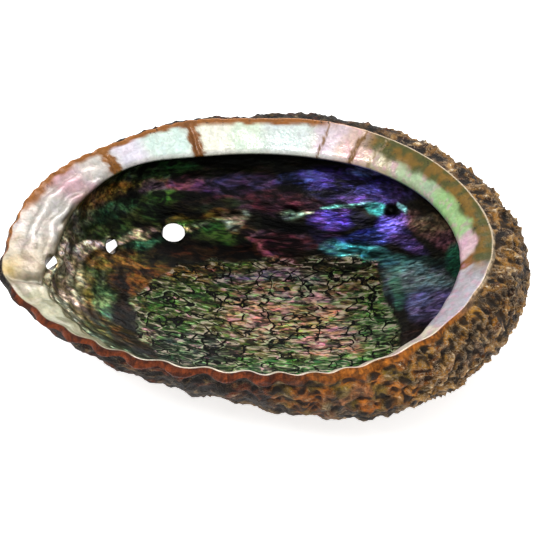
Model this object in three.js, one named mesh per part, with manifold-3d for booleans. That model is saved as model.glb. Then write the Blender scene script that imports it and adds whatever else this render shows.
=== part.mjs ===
// An empty abalone shell lying on its back with its aperture up, as one closed solid.
// Millimetres, +Z up, standing on z = 0. +X is the spire end, -X the notched growing end,
// +Y the side with the pearly ledge and the row of breathing holes, -Y the scalloped outer lip.
//
// The surface is lofted around the shell. Every azimuth has one section that runs from the
// bottom of the outside, up the outer wall, over the rim, across the ledge, under its edge and
// down the inner wall to the bowl's floor. Measures that change around the rim are lists of
// evenly spaced values, the first at +X and the rest anticlockwise seen from above.

import * as THREE from 'three';
import { mergeVertices } from 'three/addons/utils/BufferGeometryUtils.js';
import Module from 'manifold-3d';

// Plan of the rim. Heights are measured from the rim's crest until the shell is set on the floor.
const RIM_CENTRE = new THREE.Vector2(-4, -4);
const RIM_RADIUS = [83.5, 79.5, 74, 69.5, 66, 69.5, 73.5, 82, 85.5, 83.5, 74.5, 68, 66.5, 71, 75.5, 80];
const TIP_AZIMUTH = THREE.MathUtils.degToRad(192);
const TIP_WIDTH = THREE.MathUtils.degToRad(9);
const TIP_REACH = 3.6;

// Waves along the free outer lip, with their count for a whole turn and where they fade out.
const WAVE_COUNT = 35;
const WAVE_HEIGHT = 1;
const WAVE_MIDDLE = THREE.MathUtils.degToRad(255);
const WAVE_SPREAD = THREE.MathUtils.degToRad(62);

// Outer wall: how far it swells past the rim, how far down it is widest, and how full it is.
const SWELL = [14, 14.5, 13, 10, 7, 4.5, 3, 1.5, 0.5, 0, 0, 0, 0.7, 3, 8, 11.5];
const WIDEST_DROP = [17, 14, 10.5, 8, 6.5, 5, 4, 3.5, 3, 3, 3, 4, 6, 10, 14, 17];
const FULLNESS = [2, 2.1, 2.2, 2.2, 2.1, 2, 1.85, 1.65, 1.5, 1.5, 1.6, 1.75, 1.95, 2.15, 2.25, 2.1];
const BOTTOM_FULLNESS = 2;
const BOTTOM = new THREE.Vector3(18, 3, -47);

// Pearly ledge and lip: width, fall towards the bowl, and the hollow below its edge.
const LEDGE_WIDTH = [10.5, 9.8, 10.4, 12, 10.5, 11.5, 8, 13, 15.5, 10, 3.5, 3, 3, 3, 4.5, 9];
const LEDGE_FALL = [6, 6, 6, 6, 6, 6, 5, 5, 4.5, 3.5, 2.5, 2.5, 2.5, 2.5, 3.5, 5];
const UNDERCUT = [8.5, 10.5, 11, 11, 8, 6, 2.5, -0.5, -2.5, -2.5, -3, -2.7, -1.8, 0, 5, 7.5];
const UNDERCUT_DROP = [20, 18, 16, 14.5, 13, 12, 11, 10.5, 10.5, 9, 7, 7.5, 9.5, 13, 17, 20];
const LIP_EDGE = 1.2;
const LIP_ROUND = 1.8;
const LEDGE_NOSE = 1.6;
const FLOOR_THICKNESS = 5;

// Spire on the outside, wound as a logarithmic spiral that widens by WHORL_GROWTH each turn.
const SPIRE = new THREE.Vector3(66, 24, -34);
const SPIRE_AXIS = new THREE.Vector3(0.7, 0.3, -0.65).normalize();
const SPIRE_HEIGHT = 4;
const SPIRE_REACH = 24;
const SPIRE_TIP = 3;
const WHORL_GROWTH = 3.2;
const SUTURE_DEPTH = 1.6;

// Breathing holes: the row's plan from the growing tip to the spire, and its raised mouths.
const SIPHON_ROW = new THREE.CatmullRomCurve3([
  new THREE.Vector3(-57, 21, -28),
  new THREE.Vector3(-35, 34, -33),
  new THREE.Vector3(-12, 43, -36),
  new THREE.Vector3(9, 48, -36),
  new THREE.Vector3(28, 50, -35),
  new THREE.Vector3(45, 46, -34),
  new THREE.Vector3(58, 38, -33),
]);
const SIPHON_COUNT = 8;
const SIPHON_HEIGHT = 2.6;
const SIPHON_WIDTH = 6.5;
const SIPHON_SHRINK = 0.88;
const OPEN_HOLES = [
  { at: [-76, -7.5, -9], axis: [-0.1, 0.7, -0.7], across: 4.6, along: 6.2 },
  { at: [-57, 20.5, -27], axis: [-0.1, 0.7, -0.7], across: 4.8, along: 6.6 },
  { at: [-34.8, 34, -32.5], axis: [-0.05, 0.7, -0.7], across: 9.4, along: 7.6 },
];
const HOLE_TAPER = 0.9;
const HOLE_REACH = 12;
const HOLE_SIDES = 20;

// Broad growth folds on the outside, and the small worn flat that the shell rests on.
const FOLD_SPACING = 15;
const FOLD_HEIGHT = 0.5;
const WORN_DEPTH = 0.5;

// Grid: cells across the bottom and the floor, and cells up the rim band between them.
const CELLS_ACROSS = 36;
const CELLS_RIM = 12;
const SAME_PLACE = 1e-4;

// A smooth value at an azimuth from a list of evenly spaced values that closes on itself.
function around(values, azimuth) {
  const place = THREE.MathUtils.euclideanModulo(azimuth / (2 * Math.PI), 1) * values.length;
  const start = Math.floor(place);
  const t = place - start;
  const value = (step) => values[(start + step + values.length) % values.length];
  const rise = value(1) - value(0);
  const slopeIn = (value(1) - value(-1)) / 2;
  const slopeOut = (value(2) - value(0)) / 2;
  const bend = 3 * rise - 2 * slopeIn - slopeOut;
  const twist = slopeIn + slopeOut - 2 * rise;
  return value(0) + t * (slopeIn + t * (bend + t * twist));
}

// A bell of height 1 that falls off on both sides of its middle.
function bell(distance, width) {
  return Math.exp(-((distance / width) ** 2));
}

function turnBetween(from, to) {
  return Math.atan2(Math.sin(to - from), Math.cos(to - from));
}

function lipWave(azimuth) {
  const fade = bell(turnBetween(WAVE_MIDDLE, azimuth), WAVE_SPREAD);
  return WAVE_HEIGHT * fade * Math.sin(WAVE_COUNT * azimuth + 1.4 * Math.sin(5 * azimuth));
}

// A point of the rim band: out is measured outwards in plan from the crest, height from the rim.
function bandPoint(azimuth, out, height) {
  const tip = TIP_REACH * bell(turnBetween(TIP_AZIMUTH, azimuth), TIP_WIDTH);
  const wave = lipWave(azimuth) * bell(height, WAVE_COUNT / 4);
  const radius = around(RIM_RADIUS, azimuth) + tip + wave + out;
  const x = RIM_CENTRE.x + radius * Math.cos(azimuth);
  const y = RIM_CENTRE.y + radius * Math.sin(azimuth);
  return new THREE.Vector3(x, y, height);
}

// The rim band's section as [out, height] in order, from the widest ring to the hollow's ring.
function bandSection(azimuth) {
  const swell = around(SWELL, azimuth);
  const drop = around(WIDEST_DROP, azimuth);
  const width = around(LEDGE_WIDTH, azimuth);
  const fall = around(LEDGE_FALL, azimuth);
  const hollow = -width + around(UNDERCUT, azimuth);
  const hollowDrop = around(UNDERCUT_DROP, azimuth);
  const noseBottom = -fall - 2 * LEDGE_NOSE;
  const shoulder = (turn) => [
    LIP_EDGE + (swell - LIP_EDGE) * Math.cos(turn),
    -drop + (drop - LIP_ROUND) * Math.sin(turn),
  ];
  return [
    shoulder(0),
    shoulder(Math.PI / 6),
    shoulder(Math.PI / 3),
    shoulder(Math.PI / 2),
    [0, 0],
    [-LIP_EDGE, -0.3 * LIP_ROUND],
    [-0.45 * width, -0.35 * fall],
    [-0.8 * width, -0.75 * fall],
    [-width, -fall],
    [-width - 0.4 * LEDGE_NOSE, -fall - LEDGE_NOSE],
    [-width, noseBottom],
    [(hollow - width) / 2, (noseBottom - hollowDrop) / 2],
    [hollow, -hollowDrop],
  ];
}

// A wall from its widest ring (part = 1) down to its lowest point (part = 0), as a superellipse.
function wallPoint(azimuth, widest, lowest, part) {
  const power = 2 / THREE.MathUtils.lerp(BOTTOM_FULLNESS, around(FULLNESS, azimuth), part);
  const angle = (part * Math.PI) / 2;
  const spread = Math.sin(angle) ** power;
  const sink = Math.max(Math.cos(angle), 0) ** power;
  const x = THREE.MathUtils.lerp(lowest.x, widest.x, spread);
  const y = THREE.MathUtils.lerp(lowest.y, widest.y, spread);
  return new THREE.Vector3(x, y, THREE.MathUtils.lerp(widest.z, lowest.z, sink));
}

// Spire: a low dome whose whorls are parted by a spiral groove that fades away from the tip.
function spireRelief(point) {
  const east = new THREE.Vector3(0, 0, 1).cross(SPIRE_AXIS).normalize();
  const north = SPIRE_AXIS.clone().cross(east);
  const offset = point.clone().sub(SPIRE);
  const across = offset.dot(east);
  const up = offset.dot(north);
  const distance = Math.hypot(across, up, 0.4 * offset.dot(SPIRE_AXIS));
  const turns = Math.log(Math.max(distance, SPIRE_TIP) / SPIRE_TIP) / Math.log(WHORL_GROWTH);
  const whorl = THREE.MathUtils.euclideanModulo(turns - Math.atan2(up, across) / (2 * Math.PI), 1);
  const groove = SUTURE_DEPTH * (1 - Math.sin(Math.PI * whorl)) ** 2;
  return SPIRE_HEIGHT * bell(distance, SPIRE_REACH) - groove * bell(distance, 1.6 * SPIRE_REACH);
}

// Raised mouths along the row, each a little smaller and nearer its neighbour towards the spire.
function siphonRelief(point) {
  const rowEnd = 1 - SIPHON_SHRINK ** (SIPHON_COUNT - 1);
  let height = 0;
  for (let i = 0; i < SIPHON_COUNT; i += 1) {
    const size = SIPHON_SHRINK ** i;
    const mouth = SIPHON_ROW.getPoint((1 - size) / rowEnd);
    height += SIPHON_HEIGHT * size * bell(point.distanceTo(mouth), SIPHON_WIDTH * size);
  }
  return height;
}

function foldRelief(point) {
  const distance = point.distanceTo(SPIRE);
  return FOLD_HEIGHT * Math.sin((2 * Math.PI * distance) / FOLD_SPACING);
}

// Moves a point of the outer wall outwards by the reliefs, more the lower it lies below the rim.
function relieved(point) {
  const outwards = point.clone().sub(new THREE.Vector3(BOTTOM.x / 2, 0, BOTTOM.z / 5)).normalize();
  const strength = THREE.MathUtils.smoothstep(-point.z, 6, 20);
  const height = spireRelief(point) + siphonRelief(point) + foldRelief(point);
  return point.addScaledVector(outwards, strength * height);
}

// Rounds a square grid into a disc, so that its rings close around the shell without corners.
function squareToDisc(x, y) {
  return new THREE.Vector2(x * Math.sqrt(1 - (y * y) / 2), y * Math.sqrt(1 - (x * x) / 2));
}

// Carries a corner of the starting box to the shell: its bottom face becomes the outer wall,
// its sides the rim band and its top face the inner wall.
function shellPoint(corner) {
  const spot = squareToDisc(corner.x, corner.y);
  const azimuth = spot.angle();
  const section = bandSection(azimuth).map(([out, height]) => bandPoint(azimuth, out, height));
  const level = Math.round(((corner.z + 1) / 2) * CELLS_RIM);
  if (level === 0) {
    return relieved(wallPoint(azimuth, section[0], BOTTOM, spot.length()));
  }
  if (level === CELLS_RIM) {
    const floor = BOTTOM.clone().setZ(BOTTOM.z + FLOOR_THICKNESS);
    return wallPoint(azimuth, section[CELLS_RIM], floor, spot.length());
  }
  return section[level];
}

function loftedShell() {
  const box = new THREE.BoxGeometry(2, 2, 2, CELLS_ACROSS, CELLS_ACROSS, CELLS_RIM);
  const place = box.getAttribute('position');
  const corner = new THREE.Vector3();
  for (let i = 0; i < place.count; i += 1) {
    corner.fromBufferAttribute(place, i);
    const point = shellPoint(corner);
    place.setXYZ(i, point.x, point.y, point.z);
  }
  return box;
}

// A tapered oval plug, wider outside the shell, that cuts one breathing hole.
function holeCutter(hole) {
  const plug = new THREE.CylinderGeometry(0.5, 0.5 * HOLE_TAPER, 2 * HOLE_REACH, HOLE_SIDES);
  plug.scale(hole.across, 1, hole.along);
  const axis = new THREE.Vector3(...hole.axis).normalize();
  const turn = new THREE.Quaternion().setFromUnitVectors(new THREE.Vector3(0, 1, 0), axis);
  plug.applyQuaternion(turn);
  return plug.translate(...hole.at);
}

function floorCutter() {
  const block = new THREE.BoxGeometry(400, 400, 40);
  return block.translate(0, 0, BOTTOM.z + WORN_DEPTH - 20);
}

const manifold = await Module();
manifold.setup();

function toSolid(geometry) {
  geometry.deleteAttribute('normal');
  geometry.deleteAttribute('uv');
  const merged = mergeVertices(geometry, SAME_PLACE);
  const vertProperties = new Float32Array(merged.getAttribute('position').array);
  const triVerts = new Uint32Array(merged.getIndex().array);
  return new manifold.Manifold(new manifold.Mesh({ numProp: 3, vertProperties, triVerts }));
}

function toGeometry(solid) {
  const mesh = solid.getMesh();
  const geometry = new THREE.BufferGeometry();
  geometry.setAttribute('position', new THREE.BufferAttribute(mesh.vertProperties, 3));
  geometry.setIndex(new THREE.BufferAttribute(mesh.triVerts, 1));
  return geometry;
}

function shellGeometry() {
  let solid = toSolid(loftedShell());
  for (const hole of OPEN_HOLES) {
    solid = solid.subtract(toSolid(holeCutter(hole)));
  }
  return toGeometry(solid.subtract(toSolid(floorCutter())));
}

// Puts the middle of the underside of a mesh's box at the origin.
function standOnOrigin(mesh) {
  mesh.geometry.computeBoundingBox();
  const box = mesh.geometry.boundingBox;
  mesh.position.set(-(box.min.x + box.max.x) / 2, -(box.min.y + box.max.y) / 2, -box.min.z);
}

const shell = new THREE.Mesh(
  shellGeometry(),
  new THREE.MeshStandardMaterial({ color: 0x7d6a55, roughness: 0.45, metalness: 0.15 }),
);
shell.name = 'shell';
standOnOrigin(shell);

const model = new THREE.Group();
model.add(shell);

export default model;
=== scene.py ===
"""An empty abalone shell lying on its back with its mouth up, as one closed, finely modelled piece.

The shell is lofted around its rim. Every azimuth has one section that runs from the bottom of the
outside, up the outer wall, over the rim, across the pearly ledge, under the ledge's edge and down the
inner wall to the bowl's floor. A cube whose faces are cut into a fine grid is carried to that form:
its bottom face becomes the outer wall, its sides the rim band and its top face the inner wall.

The form is written in millimetres with heights from the rim's crest. +X is the spire end, -X the
notched growing end, +Y the side with the wide ledge and the row of breathing holes, -Y the outer lip.
"""

import logging
import math
from collections.abc import Sequence
from dataclasses import dataclass, field
from enum import Enum, IntEnum

import bmesh
import bpy
import numpy as np
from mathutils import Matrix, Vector, noise


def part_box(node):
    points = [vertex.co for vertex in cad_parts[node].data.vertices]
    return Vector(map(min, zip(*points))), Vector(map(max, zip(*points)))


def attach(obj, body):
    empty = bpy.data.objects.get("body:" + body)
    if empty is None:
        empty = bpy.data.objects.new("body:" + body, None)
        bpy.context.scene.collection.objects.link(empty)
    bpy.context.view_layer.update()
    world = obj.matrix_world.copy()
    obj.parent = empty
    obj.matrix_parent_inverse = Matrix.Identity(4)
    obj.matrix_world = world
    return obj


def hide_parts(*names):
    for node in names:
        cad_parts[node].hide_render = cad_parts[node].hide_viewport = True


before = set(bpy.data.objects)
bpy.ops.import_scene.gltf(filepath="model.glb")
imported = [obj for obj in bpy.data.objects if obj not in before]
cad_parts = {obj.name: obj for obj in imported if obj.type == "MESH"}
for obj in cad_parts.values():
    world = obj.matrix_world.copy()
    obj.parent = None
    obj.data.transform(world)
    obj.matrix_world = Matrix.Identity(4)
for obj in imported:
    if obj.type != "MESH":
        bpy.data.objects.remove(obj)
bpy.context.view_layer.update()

LOG = logging.getLogger("abalone")
MM = 0.001
BODY = "root"
NODE = "shell"

Colour = tuple[float, float, float]
Measure = float | np.ndarray

TERRACE_STEPS = 1.05
SPLINE_STEPS = (-1, 0, 1, 2)


# ---------------------------------------------------------------------------------------------
# Small measures shared by every part of the shell
# ---------------------------------------------------------------------------------------------


def around(values: Sequence[float], azimuth: np.ndarray) -> np.ndarray:
    """Reads a smooth value at each azimuth from evenly spaced values that close on themselves.

    Args:
        values: One value per even step of azimuth, the first at +X, then anticlockwise from above.
        azimuth: Azimuths in radians.

    Returns:
        One value per azimuth.
    """
    table = np.asarray(values, dtype=float)
    place = np.mod(azimuth / math.tau, 1.0) * len(table)
    start = np.floor(place).astype(int)
    t = place - start
    before, here, after, beyond = (table[(start + step) % len(table)] for step in SPLINE_STEPS)
    return spline(t, here, after, (after - before) / 2, (beyond - here) / 2)


def spline(t: Measure, here: Measure, after: Measure, slope_in: Measure, slope_out: Measure) -> Measure:
    """Reads a smooth curve between two points, given its slope at each.

    Args:
        t: 0 at the first point and 1 at the second.
        here: The first point.
        after: The second point.
        slope_in: The slope at the first point.
        slope_out: The slope at the second point.

    Returns:
        The curve's place at t.
    """
    rise = after - here
    bend = 3 * rise - 2 * slope_in - slope_out
    twist = slope_in + slope_out - 2 * rise
    return here + t * (slope_in + t * (bend + t * twist))


def bell(distance: np.ndarray, width: float) -> np.ndarray:
    """Gives a bell of height 1 that falls off on both sides of its middle."""
    return np.exp(-np.square(distance / width))


def turn_between(start: float, azimuth: np.ndarray) -> np.ndarray:
    """Gives the signed turn from one azimuth to others, in radians."""
    return np.arctan2(np.sin(azimuth - start), np.cos(azimuth - start))


def facing(towards: float, azimuth: np.ndarray, width: float) -> np.ndarray:
    """Gives 1 at an azimuth and a bell-shaped fall on both sides, all in degrees but the azimuths."""
    return bell(turn_between(math.radians(towards), azimuth), math.radians(width))


def within(towards: float, azimuth: np.ndarray, low: float, high: float) -> np.ndarray:
    """Gives 1 up to a turn of low radians from an azimuth in degrees, and 0 past high radians."""
    return 1 - smoothstep(np.abs(turn_between(math.radians(towards), azimuth)), low, high)


def smoothstep(value: np.ndarray, low: float, high: float) -> np.ndarray:
    """Gives 0 below low, 1 above high and a smooth rise between them."""
    t = np.clip((value - low) / (high - low), 0.0, 1.0)
    return t * t * (3 - 2 * t)


def grain(points: np.ndarray, size: float, seed: float, octaves: int = 1) -> np.ndarray:
    """Gives smooth noise of about -1 to 1 at points.

    Args:
        points: Places in millimetres, one per row.
        size: Rough size of a lump, in millimetres.
        seed: Shifts the pattern, so that two fields of one size differ.
        octaves: How many finer layers are added to the first.

    Returns:
        One value per point.
    """
    spots = (points / size + seed * 17.31).tolist()
    if octaves == 1:
        return np.array([noise.noise(spot) for spot in spots])
    return np.array([noise.fractal(spot, 0.9, 2.1, octaves) for spot in spots])


def worms(points: np.ndarray, size: float, seed: float) -> np.ndarray:
    """Gives winding narrow ridges of height 0 to 1, as worm tubes and old crust make."""
    return np.square(1 - np.minimum(np.abs(grain(points, size, seed)) * 3.2, 1.0))


def paint(code: str) -> Colour:
    """Turns a six-digit display colour into the linear colour that materials use."""
    parts = (int(code[i : i + 2], 16) / 255 for i in (0, 2, 4))
    return tuple(part / 12.92 if part <= 0.04045 else ((part + 0.055) / 1.055) ** 2.4 for part in parts)


def coat(tint: np.ndarray, code: str, cover: np.ndarray) -> np.ndarray:
    """Lays one colour over a tint where its cover says, point by point."""
    return blend(tint, np.array(paint(code)), cover)


def blend(tint: np.ndarray, over: np.ndarray, cover: np.ndarray) -> np.ndarray:
    """Lays a second tint over a first where its cover says, point by point."""
    share = cover[:, None]
    return tint * (1 - share) + over * share


def between(low: str, high: str, share: np.ndarray) -> np.ndarray:
    """Gives a colour per point, from one code at a share of 0 to another at 1."""
    return coat(np.array(paint(low)), high, share)


# ---------------------------------------------------------------------------------------------
# Form of the shell
# ---------------------------------------------------------------------------------------------


class Skin(IntEnum):
    """The three finishes of the shell, in the order of its material slots."""

    OUTSIDE = 0
    LEDGE = 1
    BOWL = 2


class Mark(Enum):
    """Measures that each point of the shell carries for its materials."""

    COMPASS = "compass"
    TINT = "tint"
    LIP = "lip"
    SCAR = "scar"
    TERRACE = "terrace"
    WEAR = "wear"
    SHEEN = "sheen"
    KNOBS = "knobs"


@dataclass(frozen=True)
class ShellForm:
    """Lofted form of the shell, in millimetres with heights from the rim's crest."""

    rim_centre: tuple[float, float] = (-4.0, -4.0)
    rim_radius: tuple[float, ...] = (
        83.5, 79.5, 74, 69.5, 66, 69.5, 73.5, 82, 85.5, 83.5, 74.5, 68, 66.5, 71, 75.5, 80,
    )
    tip_azimuth: float = math.radians(192)
    tip_width: float = math.radians(9)
    tip_reach: float = 3.6
    wave_count: int = 35
    wave_drift: float = 1.4
    wave_drift_count: int = 5
    wave_height: float = 1.0
    wave_middle: float = math.radians(255)
    wave_spread: float = math.radians(62)
    swell: tuple[float, ...] = (14, 14.5, 13, 10, 7, 4.5, 3, 1.5, 0.5, 0, 0, 0, 0.7, 3, 8, 11.5)
    widest_drop: tuple[float, ...] = (17, 14, 10.5, 8, 6.5, 5, 4, 3.5, 3, 3, 3, 4, 6, 10, 14, 17)
    fullness: tuple[float, ...] = (
        2, 2.1, 2.2, 2.2, 2.1, 2, 1.85, 1.65, 1.5, 1.5, 1.6, 1.75, 1.95, 2.15, 2.25, 2.1,
    )
    bottom_fullness: float = 2.0
    bottom: tuple[float, float, float] = (18.0, 3.0, -47.0)
    ledge_width: tuple[float, ...] = (
        10.5, 9.8, 10.4, 12, 10.5, 11.5, 8, 13, 15.5, 10, 3.5, 3, 3, 3, 4.5, 9,
    )
    ledge_fall: tuple[float, ...] = (6, 6, 6, 6, 6, 6, 5, 5, 4.5, 3.5, 2.5, 2.5, 2.5, 2.5, 3.5, 5)
    undercut: tuple[float, ...] = (
        8.5, 10.5, 11, 11, 8, 6, 2.5, -0.5, -2.5, -2.5, -3, -2.7, -1.8, 0, 5, 7.5,
    )
    undercut_drop: tuple[float, ...] = (
        20, 18, 16, 14.5, 13, 12, 11, 10.5, 10.5, 9, 7, 7.5, 9.5, 13, 17, 20,
    )
    lip_edge: float = 1.2
    lip_round: float = 1.8
    ledge_nose: float = 1.6
    floor_thickness: float = 5.0
    worn_depth: float = 0.5

    def band(self, azimuth: np.ndarray) -> np.ndarray:
        """Gives the rim band's section from the widest ring to the hollow's ring.

        Args:
            azimuth: Azimuths in radians.

        Returns:
            An array of section points by azimuth by (out, height), out measured from the crest.
        """
        swell = around(self.swell, azimuth)
        drop = around(self.widest_drop, azimuth)
        width = around(self.ledge_width, azimuth)
        fall = around(self.ledge_fall, azimuth)
        hollow = around(self.undercut, azimuth) - width
        hollow_drop = around(self.undercut_drop, azimuth)
        under = -fall - 2 * self.ledge_nose
        points = []
        for turn in (0, 30, 60, 90):
            lean = math.radians(turn)
            out = self.lip_edge + (swell - self.lip_edge) * math.cos(lean)
            points.append((out, -drop + (drop - self.lip_round) * math.sin(lean)))
        flat = np.zeros_like(azimuth)
        points.append((flat, flat))
        points.append((flat - self.lip_edge, flat - 0.3 * self.lip_round))
        points.append((-0.45 * width, -0.35 * fall))
        points.append((-0.8 * width, -0.75 * fall))
        points.append((-width, -fall))
        points.append((-width - 0.4 * self.ledge_nose, -fall - self.ledge_nose))
        points.append((-width, under))
        points.append(((hollow - width) / 2, (under - hollow_drop) / 2))
        points.append((hollow, -hollow_drop))
        return np.array([np.stack(point, axis=-1) for point in points])

    def band_place(self, azimuth: np.ndarray, out: np.ndarray, height: np.ndarray) -> np.ndarray:
        """Turns rim band measures into places, with the growing tip and the lip's waves."""
        tip = self.tip_reach * bell(turn_between(self.tip_azimuth, azimuth), self.tip_width)
        wave = self.lip_wave(azimuth) * bell(height, self.wave_count / 4)
        radius = around(self.rim_radius, azimuth) + tip + wave + out
        x = self.rim_centre[0] + radius * np.cos(azimuth)
        y = self.rim_centre[1] + radius * np.sin(azimuth)
        return np.stack([x, y, height], axis=-1)

    def swing(self, azimuth: np.ndarray, lead: float = 0.0) -> np.ndarray:
        """Gives the lip's uneven wave, from -1 to 1, with an optional lead in radians."""
        uneven = self.wave_drift * np.sin(self.wave_drift_count * azimuth)
        return np.sin(self.wave_count * azimuth + uneven + lead)

    def lip_wave(self, azimuth: np.ndarray) -> np.ndarray:
        """Gives the waves along the free outer lip."""
        fade = bell(turn_between(self.wave_middle, azimuth), self.wave_spread)
        return self.wave_height * fade * self.swing(azimuth)

    def along_section(self, azimuth: np.ndarray, station: np.ndarray) -> np.ndarray:
        """Reads a place on a smooth curve through the rim band's section points.

        Args:
            azimuth: Azimuths in radians.
            station: How many section points along, with parts of one between them.

        Returns:
            One place per azimuth and station.
        """
        band = self.band(azimuth)
        last = len(band) - 1
        start = np.minimum(np.floor(station).astype(int), last - 1)
        t = (station - start)[:, None]
        rows = np.arange(len(azimuth))
        before, here, after, beyond = (
            band[np.clip(start + step, 0, last), rows] for step in SPLINE_STEPS
        )
        span = np.linalg.norm(after - here, axis=1, keepdims=True)
        reach_in = np.linalg.norm(here - before, axis=1, keepdims=True)
        reach_out = np.linalg.norm(beyond - after, axis=1, keepdims=True)
        slope_in = (after - before) * span / np.maximum(span + reach_in, 1e-6)
        slope_out = (beyond - here) * span / np.maximum(span + reach_out, 1e-6)
        spot = spline(t, here, after, slope_in, slope_out)
        return self.band_place(azimuth, spot[:, 0], spot[:, 1])

    def wall(self, azimuth: np.ndarray, part: np.ndarray, inside: bool) -> np.ndarray:
        """Gives places on the outer or inner wall, from its lowest point to its widest ring.

        Args:
            azimuth: Azimuths in radians.
            part: 0 at the lowest point and 1 at the widest ring.
            inside: True for the wall of the bowl.

        Returns:
            One place per azimuth and part.
        """
        band = self.band(azimuth)[-1 if inside else 0]
        widest = self.band_place(azimuth, band[:, 0], band[:, 1])
        lowest = np.array(self.bottom)
        if inside:
            lowest = lowest + np.array([0, 0, self.floor_thickness])
        fullness = self.bottom_fullness + (around(self.fullness, azimuth) - self.bottom_fullness) * part
        angle = part * math.pi / 2
        spread = np.power(np.sin(angle), 2 / fullness)[:, None]
        sink = np.power(np.maximum(np.cos(angle), 0), 2 / fullness)
        place = lowest + (widest - lowest) * spread
        place[:, 2] = widest[:, 2] + (lowest[2] - widest[:, 2]) * sink
        return place


@dataclass(frozen=True)
class SiphonRow:
    """The row of breathing holes, from the growing tip to the spire."""

    path: tuple[tuple[float, float, float], ...] = (
        (-57, 21, -28), (-35, 34, -33), (-12, 43, -36), (9, 48, -36),
        (28, 50, -35), (45, 46, -34), (58, 38, -33),
    )
    count: int = 8
    shrink: float = 0.88
    mouth_height: float = 2.6
    mouth_width: float = 6.5

    def place(self, part: float) -> np.ndarray:
        """Gives the place on the row's smooth path at a part of its number of spans."""
        points = np.array(self.path, dtype=float)
        last = len(points) - 1
        start = min(int(part * last), last - 1)
        t = part * last - start
        here, after = points[start], points[start + 1]
        before = points[start - 1] if start > 0 else 2 * here - after
        beyond = points[start + 2] if start + 2 <= last else 2 * after - here
        return spline(t, here, after, (after - before) / 2, (beyond - here) / 2)

    def mouths(self) -> list[tuple[np.ndarray, float]]:
        """Gives the place and relative size of each raised mouth on the outside."""
        end = 1 - self.shrink ** (self.count - 1)
        sizes = [self.shrink**i for i in range(self.count)]
        return [(self.place((1 - size) / end), size) for size in sizes]

    def distance(self, points: np.ndarray) -> np.ndarray:
        """Gives how far points lie from the row's path, in millimetres."""
        steps = np.array([self.place(part) for part in np.linspace(0, 1, 60)])
        nearest = np.full(len(points), np.inf)
        for step in steps:
            nearest = np.minimum(nearest, np.linalg.norm(points - step, axis=1))
        return nearest


@dataclass(frozen=True)
class Spire:
    """The low wound spire on the outside."""

    at: tuple[float, float, float] = (66.0, 24.0, -34.0)
    axis: tuple[float, float, float] = (0.7, 0.3, -0.65)
    height: float = 4.0
    reach: float = 24.0
    tip: float = 3.0
    growth: float = 3.2
    groove: float = 1.6

    def relief(self, points: np.ndarray) -> np.ndarray:
        """Gives the spire's dome and the spiral groove that parts its whorls."""
        axis = Vector(self.axis).normalized()
        east = Vector((0, 0, 1)).cross(axis).normalized()
        north = axis.cross(east)
        offset = points - np.array(self.at)
        across, up, deep = (offset @ np.array(side) for side in (east, north, axis))
        distance = np.sqrt(across**2 + up**2 + (0.4 * deep) ** 2)
        turns = np.log(np.maximum(distance, self.tip) / self.tip) / math.log(self.growth)
        whorl = np.mod(turns - np.arctan2(up, across) / math.tau, 1.0)
        groove = self.groove * np.square(1 - np.sin(math.pi * whorl))
        return self.height * bell(distance, self.reach) - groove * bell(distance, 1.6 * self.reach)


@dataclass(frozen=True)
class BreathingHole:
    """One open breathing hole, oval, cut square to the wall and a little wider outside."""

    at: tuple[float, float, float]
    axis: tuple[float, float, float]
    across: float
    along: float
    taper: float = 0.9
    reach: float = 12.0
    wall_cuts: int = 3

    def measures(self, points: np.ndarray, shift: Vector) -> tuple[np.ndarray, np.ndarray, np.ndarray]:
        """Measures points in the hole's own directions.

        Args:
            points: Places in metres, in the row frame.
            shift: The row frame's offset from the form's own frame, in metres.

        Returns:
            Millimetres across, along and outwards along the hole's axis.
        """
        turn = Vector((0, 1, 0)).rotation_difference(Vector(self.axis).normalized())
        offset = (points - np.array(shift)) / MM - np.array(self.at)
        sides = [np.array(turn @ Vector(side)) for side in ((1, 0, 0), (0, 0, 1), (0, 1, 0))]
        return tuple(offset @ side for side in sides)

    def radius(self, out: np.ndarray) -> np.ndarray:
        """Gives the hole's half-width for a measure of 1, at a distance outwards along the axis."""
        middle = (1 + self.taper) / 4
        return middle + (1 - self.taper) / 4 * out / self.reach

    def cut(self, mesh: bmesh.types.BMesh, shift: Vector) -> int:
        """Cuts the hole through both walls and closes the ring between them.

        Args:
            mesh: The shell's mesh, in the row frame.
            shift: The row frame's offset from the form's own frame, in metres.

        Returns:
            The number of faces in the hole's wall.
        """
        centres = np.array([face.calc_center_median() for face in mesh.faces])
        u, v, out = self.measures(centres, shift)
        radius = self.radius(out)
        size = np.sqrt((u / (self.across * radius)) ** 2 + (v / (self.along * radius)) ** 2)
        inside = (size < 1) & (np.abs(out) < self.reach)
        doomed = [face for face, gone in zip(mesh.faces, inside) if gone]
        rim = {edge for face in doomed for edge in face.edges}
        bmesh.ops.delete(mesh, geom=doomed, context="FACES")
        rim = [edge for edge in rim if edge.is_valid and edge.is_boundary]
        corners = {corner for edge in rim for corner in edge.verts}
        for corner in corners:
            self.snap(corner, shift)
        ring = bmesh.ops.bridge_loops(mesh, edges=rim)
        bmesh.ops.subdivide_edges(mesh, edges=ring["edges"], cuts=self.wall_cuts, use_grid_fill=True)
        return len(ring["faces"])

    def snap(self, corner: bmesh.types.BMVert, shift: Vector) -> None:
        """Moves a corner sideways onto the hole's oval."""
        turn = Vector((0, 1, 0)).rotation_difference(Vector(self.axis).normalized())
        u, v, out = (float(value[0]) for value in self.measures(np.array([corner.co]), shift))
        radius = float(self.radius(np.array(out)))
        size = math.hypot(u / (self.across * radius), v / (self.along * radius))
        slide = Vector((u / size - u, 0, v / size - v)) * MM
        corner.co += turn @ slide


# ---------------------------------------------------------------------------------------------
# Colours and patches of the bowl and of the ledge
# ---------------------------------------------------------------------------------------------


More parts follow.
